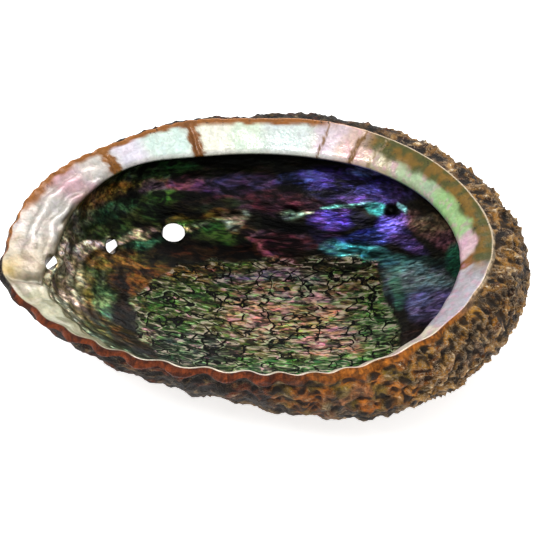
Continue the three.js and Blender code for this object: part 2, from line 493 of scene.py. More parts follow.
@dataclass(frozen=True)
class Patch:
    """A soft patch of colour on the bowl, charted by length along X and by slanted height.

    The slanted height rises up the bowl's back wall and falls across its floor towards the lip, so
    that the two measures name one place on the bowl.
    """

    name: str
    along: float
    rise: float
    length: float
    height: float
    colour: str
    strength: float = 1.0
    lean: float = 0.0

    def cover(self, along: np.ndarray, rise: np.ndarray) -> np.ndarray:
        """Gives how much of the patch lies at charted places, from 0 to its strength."""
        lean = math.radians(self.lean)
        x, y = along - self.along, rise - self.rise
        u = (x * math.cos(lean) + y * math.sin(lean)) / self.length
        v = (y * math.cos(lean) - x * math.sin(lean)) / self.height
        return self.strength * (1 - smoothstep(np.sqrt(u * u + v * v), 0.55, 1.25))


BOWL_PATCHES: tuple[Patch, ...] = (
    Patch("left wall green", -60, 12, 26, 22, "2c3a1c", 0.9),
    Patch("upper left olive fold", -49, 31, 15, 3, "6e5020", 0.9, 20),
    Patch("upper left green fold", -42, 36, 18, 4, "1c3a1e", 1.0, 12),
    Patch("upper left amber", -60, 25, 9, 3.5, "846028", 0.9, 32),
    Patch("upper left dark fold", -52, 26, 14, 2.2, "140e06", 0.9, 26),
    Patch("rose streak", -35, 30, 13, 3.6, "5c3a48", 0.95, 8),
    Patch("leaf green", -38, 26.5, 7, 2.6, "35581f", 0.9),
    Patch("violet streak", -10, 31, 18, 4, "35264a", 0.95, 4),
    Patch("plum wall", 0, 24, 22, 5, "4a2434", 0.85),
    Patch("teal left wall", -58, 20, 9, 3.4, "2c4a34", 0.95, 25),
    Patch("indigo wall", 32, 33, 18, 7, "251c5e", 1.0),
    Patch("blue gleam", 14, 34, 10, 2.6, "3f4492", 0.9, 6),
    Patch("blue gleam right", 38, 36, 9, 2.4, "474f98", 0.9),
    Patch("violet under gleam", 38, 27, 16, 4.6, "32265e", 0.9),
    # Painted shadow: near-black where the ledge overhangs the top of the bowl's wall and its upper right
    # end.
    Patch("painted shadow under right ledge", 60, 33, 15, 9, "050508", 1.0, -32),
    Patch("painted shadow under ledge edge", 0, 43, 74, 4.5, "040605", 1.0),
    Patch("green mid wall", -18, 23, 12, 2.4, "16200f", 0.9, 5),
    Patch("brown below row", -22, 5, 26, 2.6, "2c160a", 0.9),
    Patch("ochre row shade", -24, 18, 14, 2.8, "5a461c", 0.9, 8),
    Patch("green below row", -15, 12, 12, 3.6, "2c4a1e", 0.95, -6),
    Patch("green row", -27, 15, 8, 2.4, "355f26", 0.85),
    Patch("rose at row", -8, 13, 6, 2.2, "60402c", 0.85, -20),
    Patch("magenta below plug", -1, 8, 8.5, 2.2, "8a5062", 0.95, -34),
    Patch("rose below plug", 8, 10, 11, 3.2, "66384a", 0.95, -10),
    Patch("black behind streak", 14, 14, 11, 3, "06050a", 1.0),
    Patch("violet ring", 26, 18, 9, 3.6, "54389a", 0.9),
    Patch("black right of streak", 37, 17, 9, 2.8, "0a0612", 1.0, -8),
    Patch("violet mid", 28, 9, 11, 3, "3c2850", 0.9, -12),
    Patch("blue glow", 39, 10.5, 12, 3.6, "444eb4", 1.0, 8),
    Patch("violet by pit", 47, 15, 5, 6, "5c4aae", 0.9),
    Patch("teal by pit", 42, 22, 5, 2.4, "2c7c86", 0.9, -20),
    Patch("turquoise glow", 34, 5.5, 13, 3.8, "4a9cae", 1.0, -8),
    Patch("turquoise spread", 46, 1.5, 11, 3.4, "2e5c5c", 0.95, -14),
    Patch("red bloom", 58, 15, 10, 4, "4e3436", 0.9, -22),
    Patch("olive bloom", 60, 15, 8, 4, "42382a", 0.85, -20),
    Patch("violet bloom edge", 52, 8.5, 8, 2.6, "34244e", 0.95, -28),
    Patch("brown bloom", 65, 9, 6, 3.6, "4c2a34", 0.8, -30),
    Patch("emerald right wall", 71, 3, 4.5, 8, "184a38", 0.9),
    Patch("slate bowl", 55, -6, 13, 8, "5e7078", 1.0),
    Patch("violet bowl", 61, -14, 10, 6.5, "5c5680", 0.95),
    Patch("teal bowl edge", 48, -8, 2.8, 8, "44705e", 0.85),
    Patch("dark wrinkle band", 60, 1.5, 9, 2.2, "12211f", 0.85, -8),
    Patch("plum bowl end", 64, -20, 8, 4, "33243c", 0.95),
    Patch("brown bowl end", 59, -24.5, 10, 4.6, "1c110b", 1.0),
    Patch("amber window", -71, -7, 11, 6.5, "7c6026", 0.95, -38),
    Patch("amber middle", -46, -4, 11, 8, "54320f", 0.95),
    Patch("amber upper", -56, 3, 14, 3.4, "604a1e", 0.9, -8),
    Patch("dark shade by scar", -51, -12, 3.2, 12, "150b05", 0.9, 12),
    Patch("green nacre", -59, -12, 3.8, 8, "4e6444", 0.95, 16),
    Patch("green nacre low", -56, -19, 3.4, 5, "40604a", 0.9, 20),
    Patch("slate left", -82, -7, 10, 3.4, "56604c", 0.9, -38),
    Patch("grey streak", -70, -20, 24, 1.7, "8f9482", 0.95, -34),
    Patch("olive streak", -62, -20, 22, 1.4, "4c4822", 0.95, -34),
    Patch("brown streak", -52, -22, 20, 1.8, "4a3410", 0.9, -34),
    Patch("pale streak low", -46, -31, 24, 1.4, "7c8878", 0.9, -24),
    Patch("dark streak low", -32, -33, 18, 1.8, "16140c", 0.9, -22),
    Patch("pearl by slit", -69, 5.4, 10, 2.4, "b4ac98", 0.95, 16),
    Patch("pearl before second hole", -66, 7.2, 8, 1.5, "d2c8b4", 0.95, 16),
    # Pale pearl on the ridges between the holes, with painted glints along them.
    Patch("pearl ridge", -46.5, 11.6, 8, 2.2, "d6ccb0", 1.0, 18),
    Patch("teal ridge", -43, 8.6, 8, 1.6, "4c846a", 0.95, 14),
    Patch("pearl ridge past third hole", -24, 15.8, 8, 1.3, "a8a878", 0.95, 12),
    Patch("pale plug", -12, 17, 5.4, 3.4, "968c80", 0.95),
    Patch("dark round plug", -4, 17.5, 2.2, 3.4, "15120f", 0.8),
    Patch("second plug", 9, 20, 5.5, 2.0, "6c7462", 0.9),
    # Painted highlights: thin bright glints on the second plug and on the raised ridge along the row.
    Patch("white painted glint", 13, 19.6, 5, 0.9, "c8d2c8", 1.0, 4),
    Patch("turquoise painted glint", 31, 23.0, 8, 0.75, "86d4dc", 1.0, 7),
    # Painted shade: near-black in the pit's hollow.
    Patch("painted shade in pit", 47, 20.6, 3.1, 2.9, "030406", 1.0),
    Patch("pit gleam", 50.2, 21.6, 0.9, 2.2, "6fa8b4", 0.9, 10),
)

SCAR_PATCHES: tuple[Patch, ...] = (
    Patch("rose middle", 6, -16, 22, 11, "84706c", 1.0),
    Patch("cream middle", 22, -24, 20, 9, "8a7c60", 0.85),
    Patch("rose low", 24, -26, 14, 5, "8c6a6c", 0.85),
    Patch("green left", -32, -14, 16, 12, "34482a", 0.9),
    Patch("green right", 40, -20, 8, 15, "46643e", 0.85),
    Patch("green foot", 8, -36, 40, 3.8, "40603c", 0.9),
    Patch("teal foot left", -26, -30, 16, 7, "28403c", 0.9),
    Patch("lilac top", 2, -4, 24, 3, "5a4c70", 0.8),
    Patch("amber top left", -28, -2, 14, 4, "55421e", 0.85),
    Patch("dark top", 22, 1, 24, 2.2, "1b170f", 0.9),
    Patch("green top left", -20, -9, 14, 3, "2e4a22", 0.8),
    Patch("gold mid", 0, -8, 16, 3, "6a5a3a", 0.8),
)


@dataclass(frozen=True)
class LedgeSpan:
    """A stretch of the pearly ledge between two azimuths, in degrees."""

    name: str
    start: float
    end: float
    colour: str
    softness: float = 3.0

    def cover(self, azimuth: np.ndarray) -> np.ndarray:
        """Gives how much of the stretch lies at azimuths in radians, from 0 to 1."""
        middle = math.radians((self.start + self.end) / 2)
        half = math.radians((self.end - self.start) / 2)
        soft = math.radians(self.softness)
        return 1 - smoothstep(np.abs(turn_between(middle, azimuth)), half - soft / 2, half + soft / 2)


LEDGE_SPANS: tuple[LedgeSpan, ...] = (
    LedgeSpan("cream lip", 196, 328, "d9cbb4"),
    LedgeSpan("olive grey fold", 198, 236, "8c876c", 8),
    LedgeSpan("cream tip", 176, 197, "b9a694", 6),
    LedgeSpan("white folds", 140, 178, "d6cdc8", 5),
    LedgeSpan("pink fold", 150, 160, "d8a8b4", 6),
    LedgeSpan("lavender", 127, 138, "e4dcec", 5),
    LedgeSpan("mint", 113, 128, "d2ebe0", 6),
    LedgeSpan("cream", 98, 110, "eeeeda", 6),
    LedgeSpan("pale mint", 86, 99, "d6e8d0", 7),
    LedgeSpan("mint and lavender", 70, 87, "cddcd8", 7),
    LedgeSpan("pink", 60, 69, "d9c6cf", 4),
    LedgeSpan("salmon", 48, 60, "cdaaa0", 6),
    LedgeSpan("olive rose", 38, 49, "b0a488", 6),
    LedgeSpan("green", 22, 40, "98b08a", 6),
    LedgeSpan("bright green", 4, 24, "8fb878", 5),
    LedgeSpan("rose lobe", -3, 5, "d8aeb8", 3),
    LedgeSpan("ochre gap", -9, -3.4, "7e4c14", 1.5),
    LedgeSpan("grey ledge", -35, -9, "a9a2ac", 2),
)


@dataclass(frozen=True)
class LedgeCrack:
    """A crack across the ledge with an ochre stain beside it."""

    azimuth: float
    stain_width: float
    depth: float
    colour: str = "8a5410"

    def nearness(self, azimuth: np.ndarray, ragged: np.ndarray, width: float) -> np.ndarray:
        """Gives 1 on the crack, falling to 0 at a width in degrees, with a ragged edge."""
        turn = turn_between(math.radians(self.azimuth), azimuth) + np.radians(ragged)
        return 1 - smoothstep(np.abs(turn), math.radians(width) * 0.5, math.radians(width))


LEDGE_CRACKS: tuple[LedgeCrack, ...] = (
    LedgeCrack(140, 2.4, 0.7),
    LedgeCrack(111.5, 2.6, 0.9, "7e4a10"),
    LedgeCrack(66.3, 0.6, 0.5, "8a6a4c"),
    LedgeCrack(55.0, 0.9, 0.6, "7e5a2c"),
    LedgeCrack(48.0, 0.7, 0.3, "94805e"),
)


# ---------------------------------------------------------------------------------------------
# The shell
# ---------------------------------------------------------------------------------------------


@dataclass
class AbaloneShell:
    """The whole shell: its mesh, the marks that its finishes read, and its finishes."""

    form: ShellForm = field(default_factory=ShellForm)
    row: SiphonRow = field(default_factory=SiphonRow)
    spire: Spire = field(default_factory=Spire)
    holes: tuple[BreathingHole, ...] = (
        BreathingHole((-76, -7.5, -9), (-0.1, 0.7, -0.7), 4.6, 6.2, reach=18.0),
        BreathingHole((-57, 20.5, -27), (-0.1, 0.7, -0.7), 4.8, 6.6),
        BreathingHole((-34.8, 34, -32.5), (-0.05, 0.7, -0.7), 9.4, 7.6),
    )
    plugs: tuple[tuple[float, float, float, float], ...] = (
        (-12.0, 42.0, -34.0, 4.2),
        (8.5, 46.0, -34.0, 3.6),
    )
    pit: tuple[float, float, float] = (47.0, 43.5, -30.0)
    pit_width: float = 2.7
    pit_depth: float = 2.4
    cells_across: int = 176
    station_cells: tuple[int, ...] = (6, 6, 5, 3, 2, 4, 4, 3, 2, 2, 4, 3)
    fold_spacing: float = 15.0
    fold_height: float = 0.5
    chart_tilt: float = math.radians(43)
    chart_zero: float = 18.0
    tip_groove: float = 193.5
    nose_station: float = 9.0
    crest_station: float = 4.0
    scar_corners: tuple[tuple[float, float], ...] = (
        (-33, 0), (-20, 2), (-6, 2), (14, 3.5), (33, 3.5), (40.5, 1), (42.5, -4), (43, -9), (45, -14),
        (48, -21), (48, -30), (30, -42), (-10, -42), (-20, -38), (-36, -33), (-45, -25), (-47, -18),
        (-49, -12),
    )
    azimuth: np.ndarray = field(init=False)
    part: np.ndarray = field(init=False)
    station: np.ndarray = field(init=False)

    # -- making the mesh ------------------------------------------------------------------

    def starting_cube(self) -> bmesh.types.BMesh:
        """Cuts a cube into the grid that is carried to the shell.

        Returns:
            A cube from -1 to 1 with an even grid on its top and bottom and rows up its sides.
        """
        mesh = bmesh.new()
        bmesh.ops.create_cube(mesh, size=2)
        upright = [edge for edge in mesh.edges if abs(edge.verts[0].co.z - edge.verts[1].co.z) > 1]
        rows = sum(self.station_cells)
        bmesh.ops.subdivide_edges(mesh, edges=upright, cuts=rows - 1, use_grid_fill=True)
        level = [edge for edge in mesh.edges if abs(edge.verts[0].co.z - edge.verts[1].co.z) < 1e-6]
        bmesh.ops.subdivide_edges(mesh, edges=level, cuts=self.cells_across - 1, use_grid_fill=True)
        return mesh

    def read_cube(self, mesh: bmesh.types.BMesh) -> np.ndarray:
        """Reads where each corner of the cube lies on the shell.

        Args:
            mesh: The starting cube.

        Returns:
            The base form's place of every corner, in millimetres.
        """
        corners = np.array([vert.co for vert in mesh.verts])
        x, y = corners[:, 0], corners[:, 1]
        disc_x, disc_y = x * np.sqrt(1 - y * y / 2), y * np.sqrt(1 - x * x / 2)
        self.azimuth = np.mod(np.arctan2(disc_y, disc_x), math.tau)
        self.part = np.minimum(np.hypot(disc_x, disc_y), 1.0)
        rows = sum(self.station_cells)
        row = np.rint((corners[:, 2] + 1) / 2 * rows)
        marks = np.concatenate([[0], np.cumsum(self.station_cells)])
        last = len(self.station_cells)
        self.station = np.interp(row, marks, np.arange(last + 1))
        outer, inner = row == 0, row == rows
        middle = ~(outer | inner)
        self.station[outer] = -1 + self.part[outer]
        self.station[inner] = last + 1 - self.part[inner]
        place = np.zeros_like(corners)
        place[outer] = self.form.wall(self.azimuth[outer], self.part[outer], inside=False)
        place[inner] = self.form.wall(self.azimuth[inner], self.part[inner], inside=True)
        place[middle] = self.form.along_section(self.azimuth[middle], self.station[middle])
        return place

    @staticmethod
    def move(mesh: bmesh.types.BMesh, places: np.ndarray) -> np.ndarray:
        """Moves a mesh's corners and gives their new normals."""
        for vert, place in zip(mesh.verts, places.tolist()):
            vert.co = place
        mesh.normal_update()
        return np.array([vert.normal for vert in mesh.verts])

    # -- reliefs --------------------------------------------------------------------------

    def chart(self, points: np.ndarray) -> tuple[np.ndarray, np.ndarray]:
        """Charts the bowl by length along X and by slanted height, in millimetres."""
        rise = points[:, 1] * math.sin(self.chart_tilt)
        rise += (points[:, 2] + self.chart_zero) * math.cos(self.chart_tilt)
        return points[:, 0], rise

    def scar_cover(self, points: np.ndarray) -> np.ndarray:
        """Gives where the muscle scar lies on the bowl's floor, from 0 to 1."""
        along, rise = self.chart(points)
        ragged = 1.6 * grain(points, 7, 3) + 0.8 * grain(points, 2.5, 4)
        nearest = np.full(len(points), np.inf)
        inside = np.zeros(len(points), dtype=bool)
        corners = self.scar_corners
        for (ax, ay), (bx, by) in zip(corners, corners[1:] + corners[:1]):
            dx, dy = bx - ax, by - ay
            t = np.clip(((along - ax) * dx + (rise - ay) * dy) / (dx * dx + dy * dy), 0, 1)
            nearest = np.minimum(nearest, np.hypot(along - ax - t * dx, rise - ay - t * dy))
            if ay != by:
                crosses = (ay > rise) != (by > rise)
                inside ^= crosses & (along < ax + (rise - ay) * dx / dy)
        signed = np.where(inside, nearest, -nearest) + ragged
        low = smoothstep(-points[:, 2], 22, 30)
        return smoothstep(signed, -0.7, 0.7) * low * (self.station > self.nose_station)

    def terrace_field(self, points: np.ndarray) -> np.ndarray:
        """Gives the smooth field whose steps are the scar's flaked layers."""
        stretched = points * np.array([0.55, 1.0, 1.0])
        return 1.9 * grain(stretched, 10, 5) + 0.75 * grain(stretched, 4.6, 6) + 0.2 * grain(points, 1.9, 7)

    def bowl_relief(self, points: np.ndarray, scar: np.ndarray, terrace: np.ndarray) -> np.ndarray:
        """Gives the bowl's folds, scar terraces, plugs, ridges and pit, outwards from the wall."""
        stretched = points * np.array([0.4, 1.0, 1.0])
        calm = 1 - 0.75 * smoothstep(points[:, 0], 38, 52)
        lumps = 0.55 * grain(stretched, 8, 8) + 0.25 * grain(stretched, 3.5, 9)
        steps = terrace * TERRACE_STEPS
        stair = np.floor(steps) + smoothstep(np.mod(steps, 1.0), 0.35, 0.65)
        ripples = 0.12 * np.sin(points[:, 1] * 3.6 + 2.2 * grain(points, 5, 10))
        height = lumps * calm * (1 - scar) + scar * (0.28 * stair + ripples)
        row = self.row.distance(points)
        ridge_end = smoothstep(-points[:, 0], -44, -38)
        height += 0.7 * bell(row - 1.5, 2.2) * ridge_end
        for x, y, z, width in self.plugs:
            gap = np.linalg.norm(points - np.array([x, y, z]), axis=1)
            height += 0.9 * bell(gap, width * 0.8) - 0.3 * bell(gap - width, 1.2)
        pit = np.linalg.norm(points - np.array(self.pit), axis=1)
        height += 0.2 * bell(pit - self.pit_width, 0.9) - self.pit_depth * bell(pit, self.pit_width * 0.75)
        for hole in self.holes:
            gap = np.linalg.norm(points - np.array(hole.at), axis=1)
            height += 0.4 * bell(gap - hole.across * 0.55 - 1.2, 1.0)
        wrinkles = bell(points[:, 1] - 10 - 3 * grain(points, 10, 11), 6) * smoothstep(points[:, 0], 44, 50)
        height += 0.3 * wrinkles * grain(points * np.array([0.5, 1, 1]), 1.6, 12)
        left = smoothstep(-points[:, 0], 52, 66)
        height += 0.16 * left * np.sin(self.lip_gap(points) * 1.9 + 3.0 * grain(points, 9, 13))
        return height

    def lip_gap(self, points: np.ndarray) -> np.ndarray:
        """Gives how far points lie inside the rim in plan, in millimetres."""
        x = points[:, 0] - self.form.rim_centre[0]
        y = points[:, 1] - self.form.rim_centre[1]
        return around(self.form.rim_radius, self.azimuth) - np.hypot(x, y)

    def ledge_relief(self, points: np.ndarray) -> np.ndarray:
        """Gives the ledge's folds, lobes and cracks."""
        across = smoothstep(self.station, 4.6, 6) * (1 - smoothstep(self.station, 8.6, 9.4))
        folds = facing(164, self.azimuth, 22)
        wave = np.sin(self.lip_gap(points) * 1.15 + 3.0 * grain(points, 8, 20))
        height = folds * 0.95 * wave + 0.22 * grain(points, 6, 21) + 0.1 * grain(points, 2.5, 22)
        ragged = 0.9 * grain(points, 2.5, 23)
        for crack in LEDGE_CRACKS:
            height -= crack.depth * crack.nearness(self.azimuth, ragged, 0.9)
        tip = turn_between(math.radians(self.tip_groove), self.azimuth) + 0.012 * grain(points, 4, 25)
        height += 0.9 * bell(tip - 0.07, 0.05) - 1.5 * bell(tip, 0.035)
        lobe = turn_between(math.radians(-4.5), self.azimuth) + 0.02 * grain(points, 3, 24)
        height += 0.5 * smoothstep(lobe, 0, 0.03) * (1 - smoothstep(lobe, 0.5, 0.9)) - 0.25
        return across * height

    def outer_relief(self, points: np.ndarray) -> np.ndarray:
        """Gives the outside's spire, mouths, folds, growth lines, lumps and crust."""
        depth = -points[:, 2]
        broad = smoothstep(depth, 6, 20)
        gap = np.linalg.norm(points - np.array(self.spire.at), axis=1)
        height = self.spire.relief(points) + self.fold_height * np.sin(math.tau * gap / self.fold_spacing)
        for place, size in self.row.mouths():
            reach = np.linalg.norm(points - place, axis=1)
            height += self.row.mouth_height * size * bell(reach, self.row.mouth_width * size)
        height = height * broad
        below = smoothstep(depth, 0.6, 4)
        growth = np.sin(gap * 2.1 + 1.8 * grain(points, 12, 30))
        growth = growth + 0.6 * np.sin(gap * 4.4 + 2.5 * grain(points, 7, 31))
        height += below * 0.16 * growth
        height += below * (1.1 * grain(points, 8, 32) + 0.5 * grain(points, 4, 33))
        front = facing(262, self.azimuth, 70)
        swing = self.form.swing(self.azimuth)
        roll = bell(depth - 2.4, 1.9) * (0.7 + 0.8 * swing) - 0.8 * bell(depth - 6.0, 1.6)
        height += front * roll
        rough = self.crust_cover(points) * below
        lumpy = facing(305, self.azimuth, 34) * smoothstep(depth, 2.5, 6)
        height += lumpy * (1.5 * np.abs(grain(points, 5.5, 39)) * 2 - 0.8)
        return height + below * (0.35 + 0.65 * rough) * self.knobs(points)

    def knobs(self, points: np.ndarray) -> np.ndarray:
        """Gives the crust's winding ridges and knobs, from about -1 to 1.5 millimetres."""
        flat = points * np.array([0.75, 1.0, 1.0])
        winding = 1.5 * worms(flat, 3.6, 34)
        return winding + 0.75 * grain(points, 1.9, 35) + 0.7 * grain(points, 3.6, 36) - 0.6

    def crust_cover(self, points: np.ndarray) -> np.ndarray:
        """Gives where the outside is heavily crusted, from 0 to 1."""
        right = smoothstep(points[:, 0] + 6 * grain(points, 14, 37), 30, 62)
        under = 0.6 * smoothstep(-points[:, 2] + 7 * grain(points, 12, 38), 18, 34)
        return np.maximum(right, under)

    def rim_relief(self) -> np.ndarray:
        """Gives the crest's uneven height along the rim, in millimetres upwards."""
        crest = bell(self.station - self.crest_station, 2.2)
        front = facing(250, self.azimuth, 70)
        swing = self.form.swing(self.azimuth, lead=0.9)
        circle = np.stack([np.cos(self.azimuth), np.sin(self.azimuth), 0 * self.azimuth], axis=-1) * 80
        small = grain(circle, 4.5, 40)
        back = facing(125, self.azimuth, 50)
        return crest * (front * 0.45 * swing + 0.3 * small * (0.6 + back) - 0.35)

    def rim_scallops(self) -> np.ndarray:
        """Gives the small scallops of the back left rim, as millimetres outwards in plan."""
        left = within(148, self.azimuth, 0.55, 0.8)
        wave = np.sin(84 * self.azimuth + 3 * np.sin(7 * self.azimuth)) + 0.5 * np.sin(37 * self.azimuth)
        out = 0.38 * left * bell(self.station - self.crest_station, 1.3) * wave
        return np.stack([out * np.cos(self.azimuth), out * np.sin(self.azimuth)], axis=-1)

    # -- marks ----------------------------------------------------------------------------

    def bowl_tint(self, points: np.ndarray, scar: np.ndarray) -> np.ndarray:
        """Paints the bowl's patches.

        Args:
            points: Places in millimetres.
            scar: Where the muscle scar lies.

        Returns:
            A linear colour per point.
        """
        along, rise = self.chart(points)
        along = along + 3.0 * grain(points, 11, 50) + 1.6 * grain(points, 4, 51)
        rise = rise + 1.6 * grain(points, 9, 52) + 1.2 * grain(points * np.array([0.4, 1, 1]), 3, 53)
        tint = np.tile(np.array(paint("120e08")), (len(points), 1))
        for patch in BOWL_PATCHES:
            tint = coat(tint, patch.colour, patch.cover(along, rise))
        scarred = np.tile(np.array(paint("54543c")), (len(points), 1))
        for patch in SCAR_PATCHES:
            scarred = coat(scarred, patch.colour, patch.cover(along, rise))
        near = facing(215, self.azimuth, 32) * (1 - smoothstep(self.lip_gap(points), 14, 24)) * 0.9
        tint = blend(tint, between("3c3414", "9a9880", self.rim_streaks(points)), near)
        stretched = points * np.array([0.6, 1, 1])
        glow = smoothstep(grain(stretched, 9, 82, 2), -0.2, 0.2)
        warm = smoothstep(grain(points, 7, 83, 2), 0.0, 0.35)
        wall = coat(between("35705c", "5c5484", glow), "77643c", warm)
        tint = blend(tint, wall, self.near_wall(points))
        sheen = smoothstep(grain(stretched, 3.5, 54, 2), -0.3, 0.4)
        tint = blend(tint, between("726a50", "c0b4a2", sheen), self.left_pearl(points))
        return blend(tint, scarred, scar)

    def near_wall(self, points: np.ndarray) -> np.ndarray:
        """Gives where the bowl's steep front wall is, from 0 to 1."""
        steep = smoothstep(-points[:, 1], 38, 50) * smoothstep(points[:, 2], -34, -22)
        return steep * smoothstep(points[:, 0], -40, -20)

    def rim_streaks(self, points: np.ndarray) -> np.ndarray:
        """Gives narrow streaks that run along the rim, from 0 to 1."""
        gap = self.lip_gap(points) + 0.35 * points[:, 2] + 1.2 * grain(points, 12, 56)
        lanes = np.stack([gap * 1.6, self.azimuth * 5, 0 * gap], axis=-1)
        return smoothstep(grain(lanes, 2.2, 57, 3), -0.25, 0.3)

    def left_pearl(self, points: np.ndarray) -> np.ndarray:
        """Gives where the pale pearl of the ledge runs down into the bowl's narrow end, from 0 to 1."""
        end = facing(190, self.azimuth, 30)
        reach = 10 * end + 2.5 * grain(points, 5, 55) - 1.5
        gap = self.lip_gap(points) - around(self.form.ledge_width, self.azimuth)
        return np.minimum(1.25 * end, 1) * (1 - smoothstep(gap - reach, -2.5, 3.5))

    def ledge_tint(self, points: np.ndarray) -> tuple[np.ndarray, np.ndarray]:
        """Paints the ledge's spans, its ochre outer part and its stains, with painted shade on its folds
        and towards its inner edge, and a painted highlight along its inner edge.

        Args:
            points: Places in millimetres.

        Returns:
            A linear colour per point, and how dull it is there, from 0 to 1.
        """
        azimuth = self.azimuth + 0.03 * grain(points, 7, 60) + 0.012 * grain(points, 2.5, 61)
        tint = np.tile(np.array(paint("cfc6b8")), (len(points), 1))
        for span in LEDGE_SPANS:
            tint = coat(tint, span.colour, span.cover(azimuth))
        # Painted highlight: a near-white line along the ledge's inner edge at the back.
        bright = bell(self.station - 8.7, 0.45) * within(98, azimuth, 0.6, 0.8)
        tint = coat(tint, "f6f6ee", 0.8 * bright)
        folded = facing(166, azimuth, 24)
        wave = 0.5 + 0.5 * np.sin(self.lip_gap(points) * 1.15 + 3.0 * grain(points, 8, 20) + 2.6)
        shade = 0.75 * folded * wave + 0.3 * smoothstep(grain(points, 3, 68), 0, 0.5) * folded
        tint = coat(tint, "7d756c", shade)
        # Painted shade: the folded left end darkens to olive brown towards the inner edge, where the ledge
        # overhangs the bowl.
        inner = 0.9 * folded * smoothstep(self.station + 0.6 * grain(points, 4, 80), 7.2, 8.9)
        tint = coat(tint, "5e5034", inner)
        speck = smoothstep(grain(points, 2.4, 81, 2), 0.05, 0.4) * smoothstep(points[:, 0], 20, 40)
        tint = coat(tint, "c890a8", 0.5 * speck)
        low = facing(208, azimuth, 22) * (1 - self.rim_streaks(points)) * 0.75
        tint = coat(tint, "6e6a48", low)
        past = smoothstep(self.station - self.outer_edge(points, azimuth), -0.25, 0.25)
        outer = within(22, azimuth, 0.50, 0.64) * (1 - past)
        mottle = smoothstep(grain(points, 4, 64) + 0.4 * grain(points, 1.6, 65), -0.25, 0.35)
        tint = blend(tint, between("4a4a14", "7a5a12", mottle), outer)
        ragged_edge = self.station + 0.35 * grain(points, 4, 69)
        brim = within(118, azimuth, 0.85, 1.0) * (1 - smoothstep(ragged_edge, 5.1, 5.5))
        tint = coat(tint, "8f5516", brim)
        tip = turn_between(math.radians(self.tip_groove), azimuth)
        tint = coat(tint, "4a4632", 0.8 * bell(tip, 0.03))
        gold = 0.75 * bell(tip + 0.07, 0.05) * smoothstep(-self.station, -6.6, -5.2)
        tint = coat(tint, "a98a3c", gold)
        dull = np.maximum(outer, brim)
        ragged = 1.3 * grain(points, 3, 66) + 0.9 * grain(points, 1.3, 67)
        for crack in LEDGE_CRACKS:
            cover = crack.nearness(self.azimuth, ragged, crack.stain_width)
            tint = coat(tint, crack.colour, cover)
            dull = np.maximum(dull, cover)
        return tint, dull

    def outer_edge(self, points: np.ndarray, azimuth: np.ndarray) -> np.ndarray:
        """Gives the station at which the ledge's ochre outer part ends, with its lobes."""
        lobes = 6.2 + 0.35 * np.abs(np.sin(7 * azimuth))
        return lobes + 0.5 * grain(points, 6, 62) + 0.1 * grain(points, 2, 63)

    def lip_cover(self, points: np.ndarray) -> np.ndarray:
        """Gives the horn-brown band below the crest on the outside, from 0 to 1."""
        front = facing(248, self.azimuth, 62)
        swing = self.form.swing(self.azimuth)
        reach = front * (3.2 + 1.1 * swing) + 1.3 + 0.9 * grain(points, 5, 70)
        gap = self.crest_gap(points)
        outside = smoothstep(self.crest_station + 0.4 - self.station, 0, 0.4)
        return (1 - smoothstep(gap - reach, -0.5, 0.5)) * outside

    def outer_tint(self, points: np.ndarray) -> np.ndarray:
        """Paints the outside: dark at the front left, ochre at the front right, tan crust at the right."""
        rust = smoothstep(grain(points, 5, 79, 2), 0.0, 0.35) * smoothstep(points[:, 2], -26, -6)
        tint = between("160c06", "50200a", rust)
        turn = np.degrees(self.azimuth) + (10 * grain(points, 12, 71) + 5 * grain(points, 5, 72))
        ochre = smoothstep(turn, 268, 292) * (1 - smoothstep(turn, 336, 350))
        shallow = 1 - smoothstep(-points[:, 2] + 4 * grain(points, 6, 73), 12, 24)
        olive = smoothstep(grain(points, 5, 74), -0.2, 0.3)
        tint = blend(tint, between("a45a12", "6a5412", olive), ochre * shallow)
        sandy = smoothstep(grain(points, 4, 75, 3), -0.3, 0.4)
        tint = blend(tint, between("3e2410", "a8762e", sandy), self.crust_cover(points) * 0.8)
        grey = smoothstep(grain(points, 9, 76) + 0.4 * grain(points, 3, 77), 0.22, 0.42)
        return coat(tint, "57524a", 0.4 * grey)

    def lip_tint(self, points: np.ndarray) -> np.ndarray:
        """Colours the horn band: red-brown along the front, orange and tan towards the right."""
        turn = np.degrees(turn_between(math.radians(285), self.azimuth))
        gap = self.crest_gap(points)
        lit = bell(gap - 1.6 - 0.5 * self.form.swing(self.azimuth), 1.5) + 0.25 * grain(points, 3, 78)
        lit = np.clip(lit, 0, 1)
        red, tan = between("260c05", "70300e", lit), between("6a3408", "a4601c", lit)
        tint = blend(red, tan, smoothstep(turn, -12, 16))
        tint = coat(tint, "bfa888", smoothstep(turn, 42, 62))
        return coat(tint, "a8651c", within(120, self.azimuth, 0.9, 1.3))

    def crest_gap(self, points: np.ndarray) -> np.ndarray:
        """Gives how far points lie down or out from the rim's crest, in millimetres."""
        return np.hypot(points[:, 2], np.maximum(-self.lip_gap(points), 0))

    # -- putting it together --------------------------------------------------------------

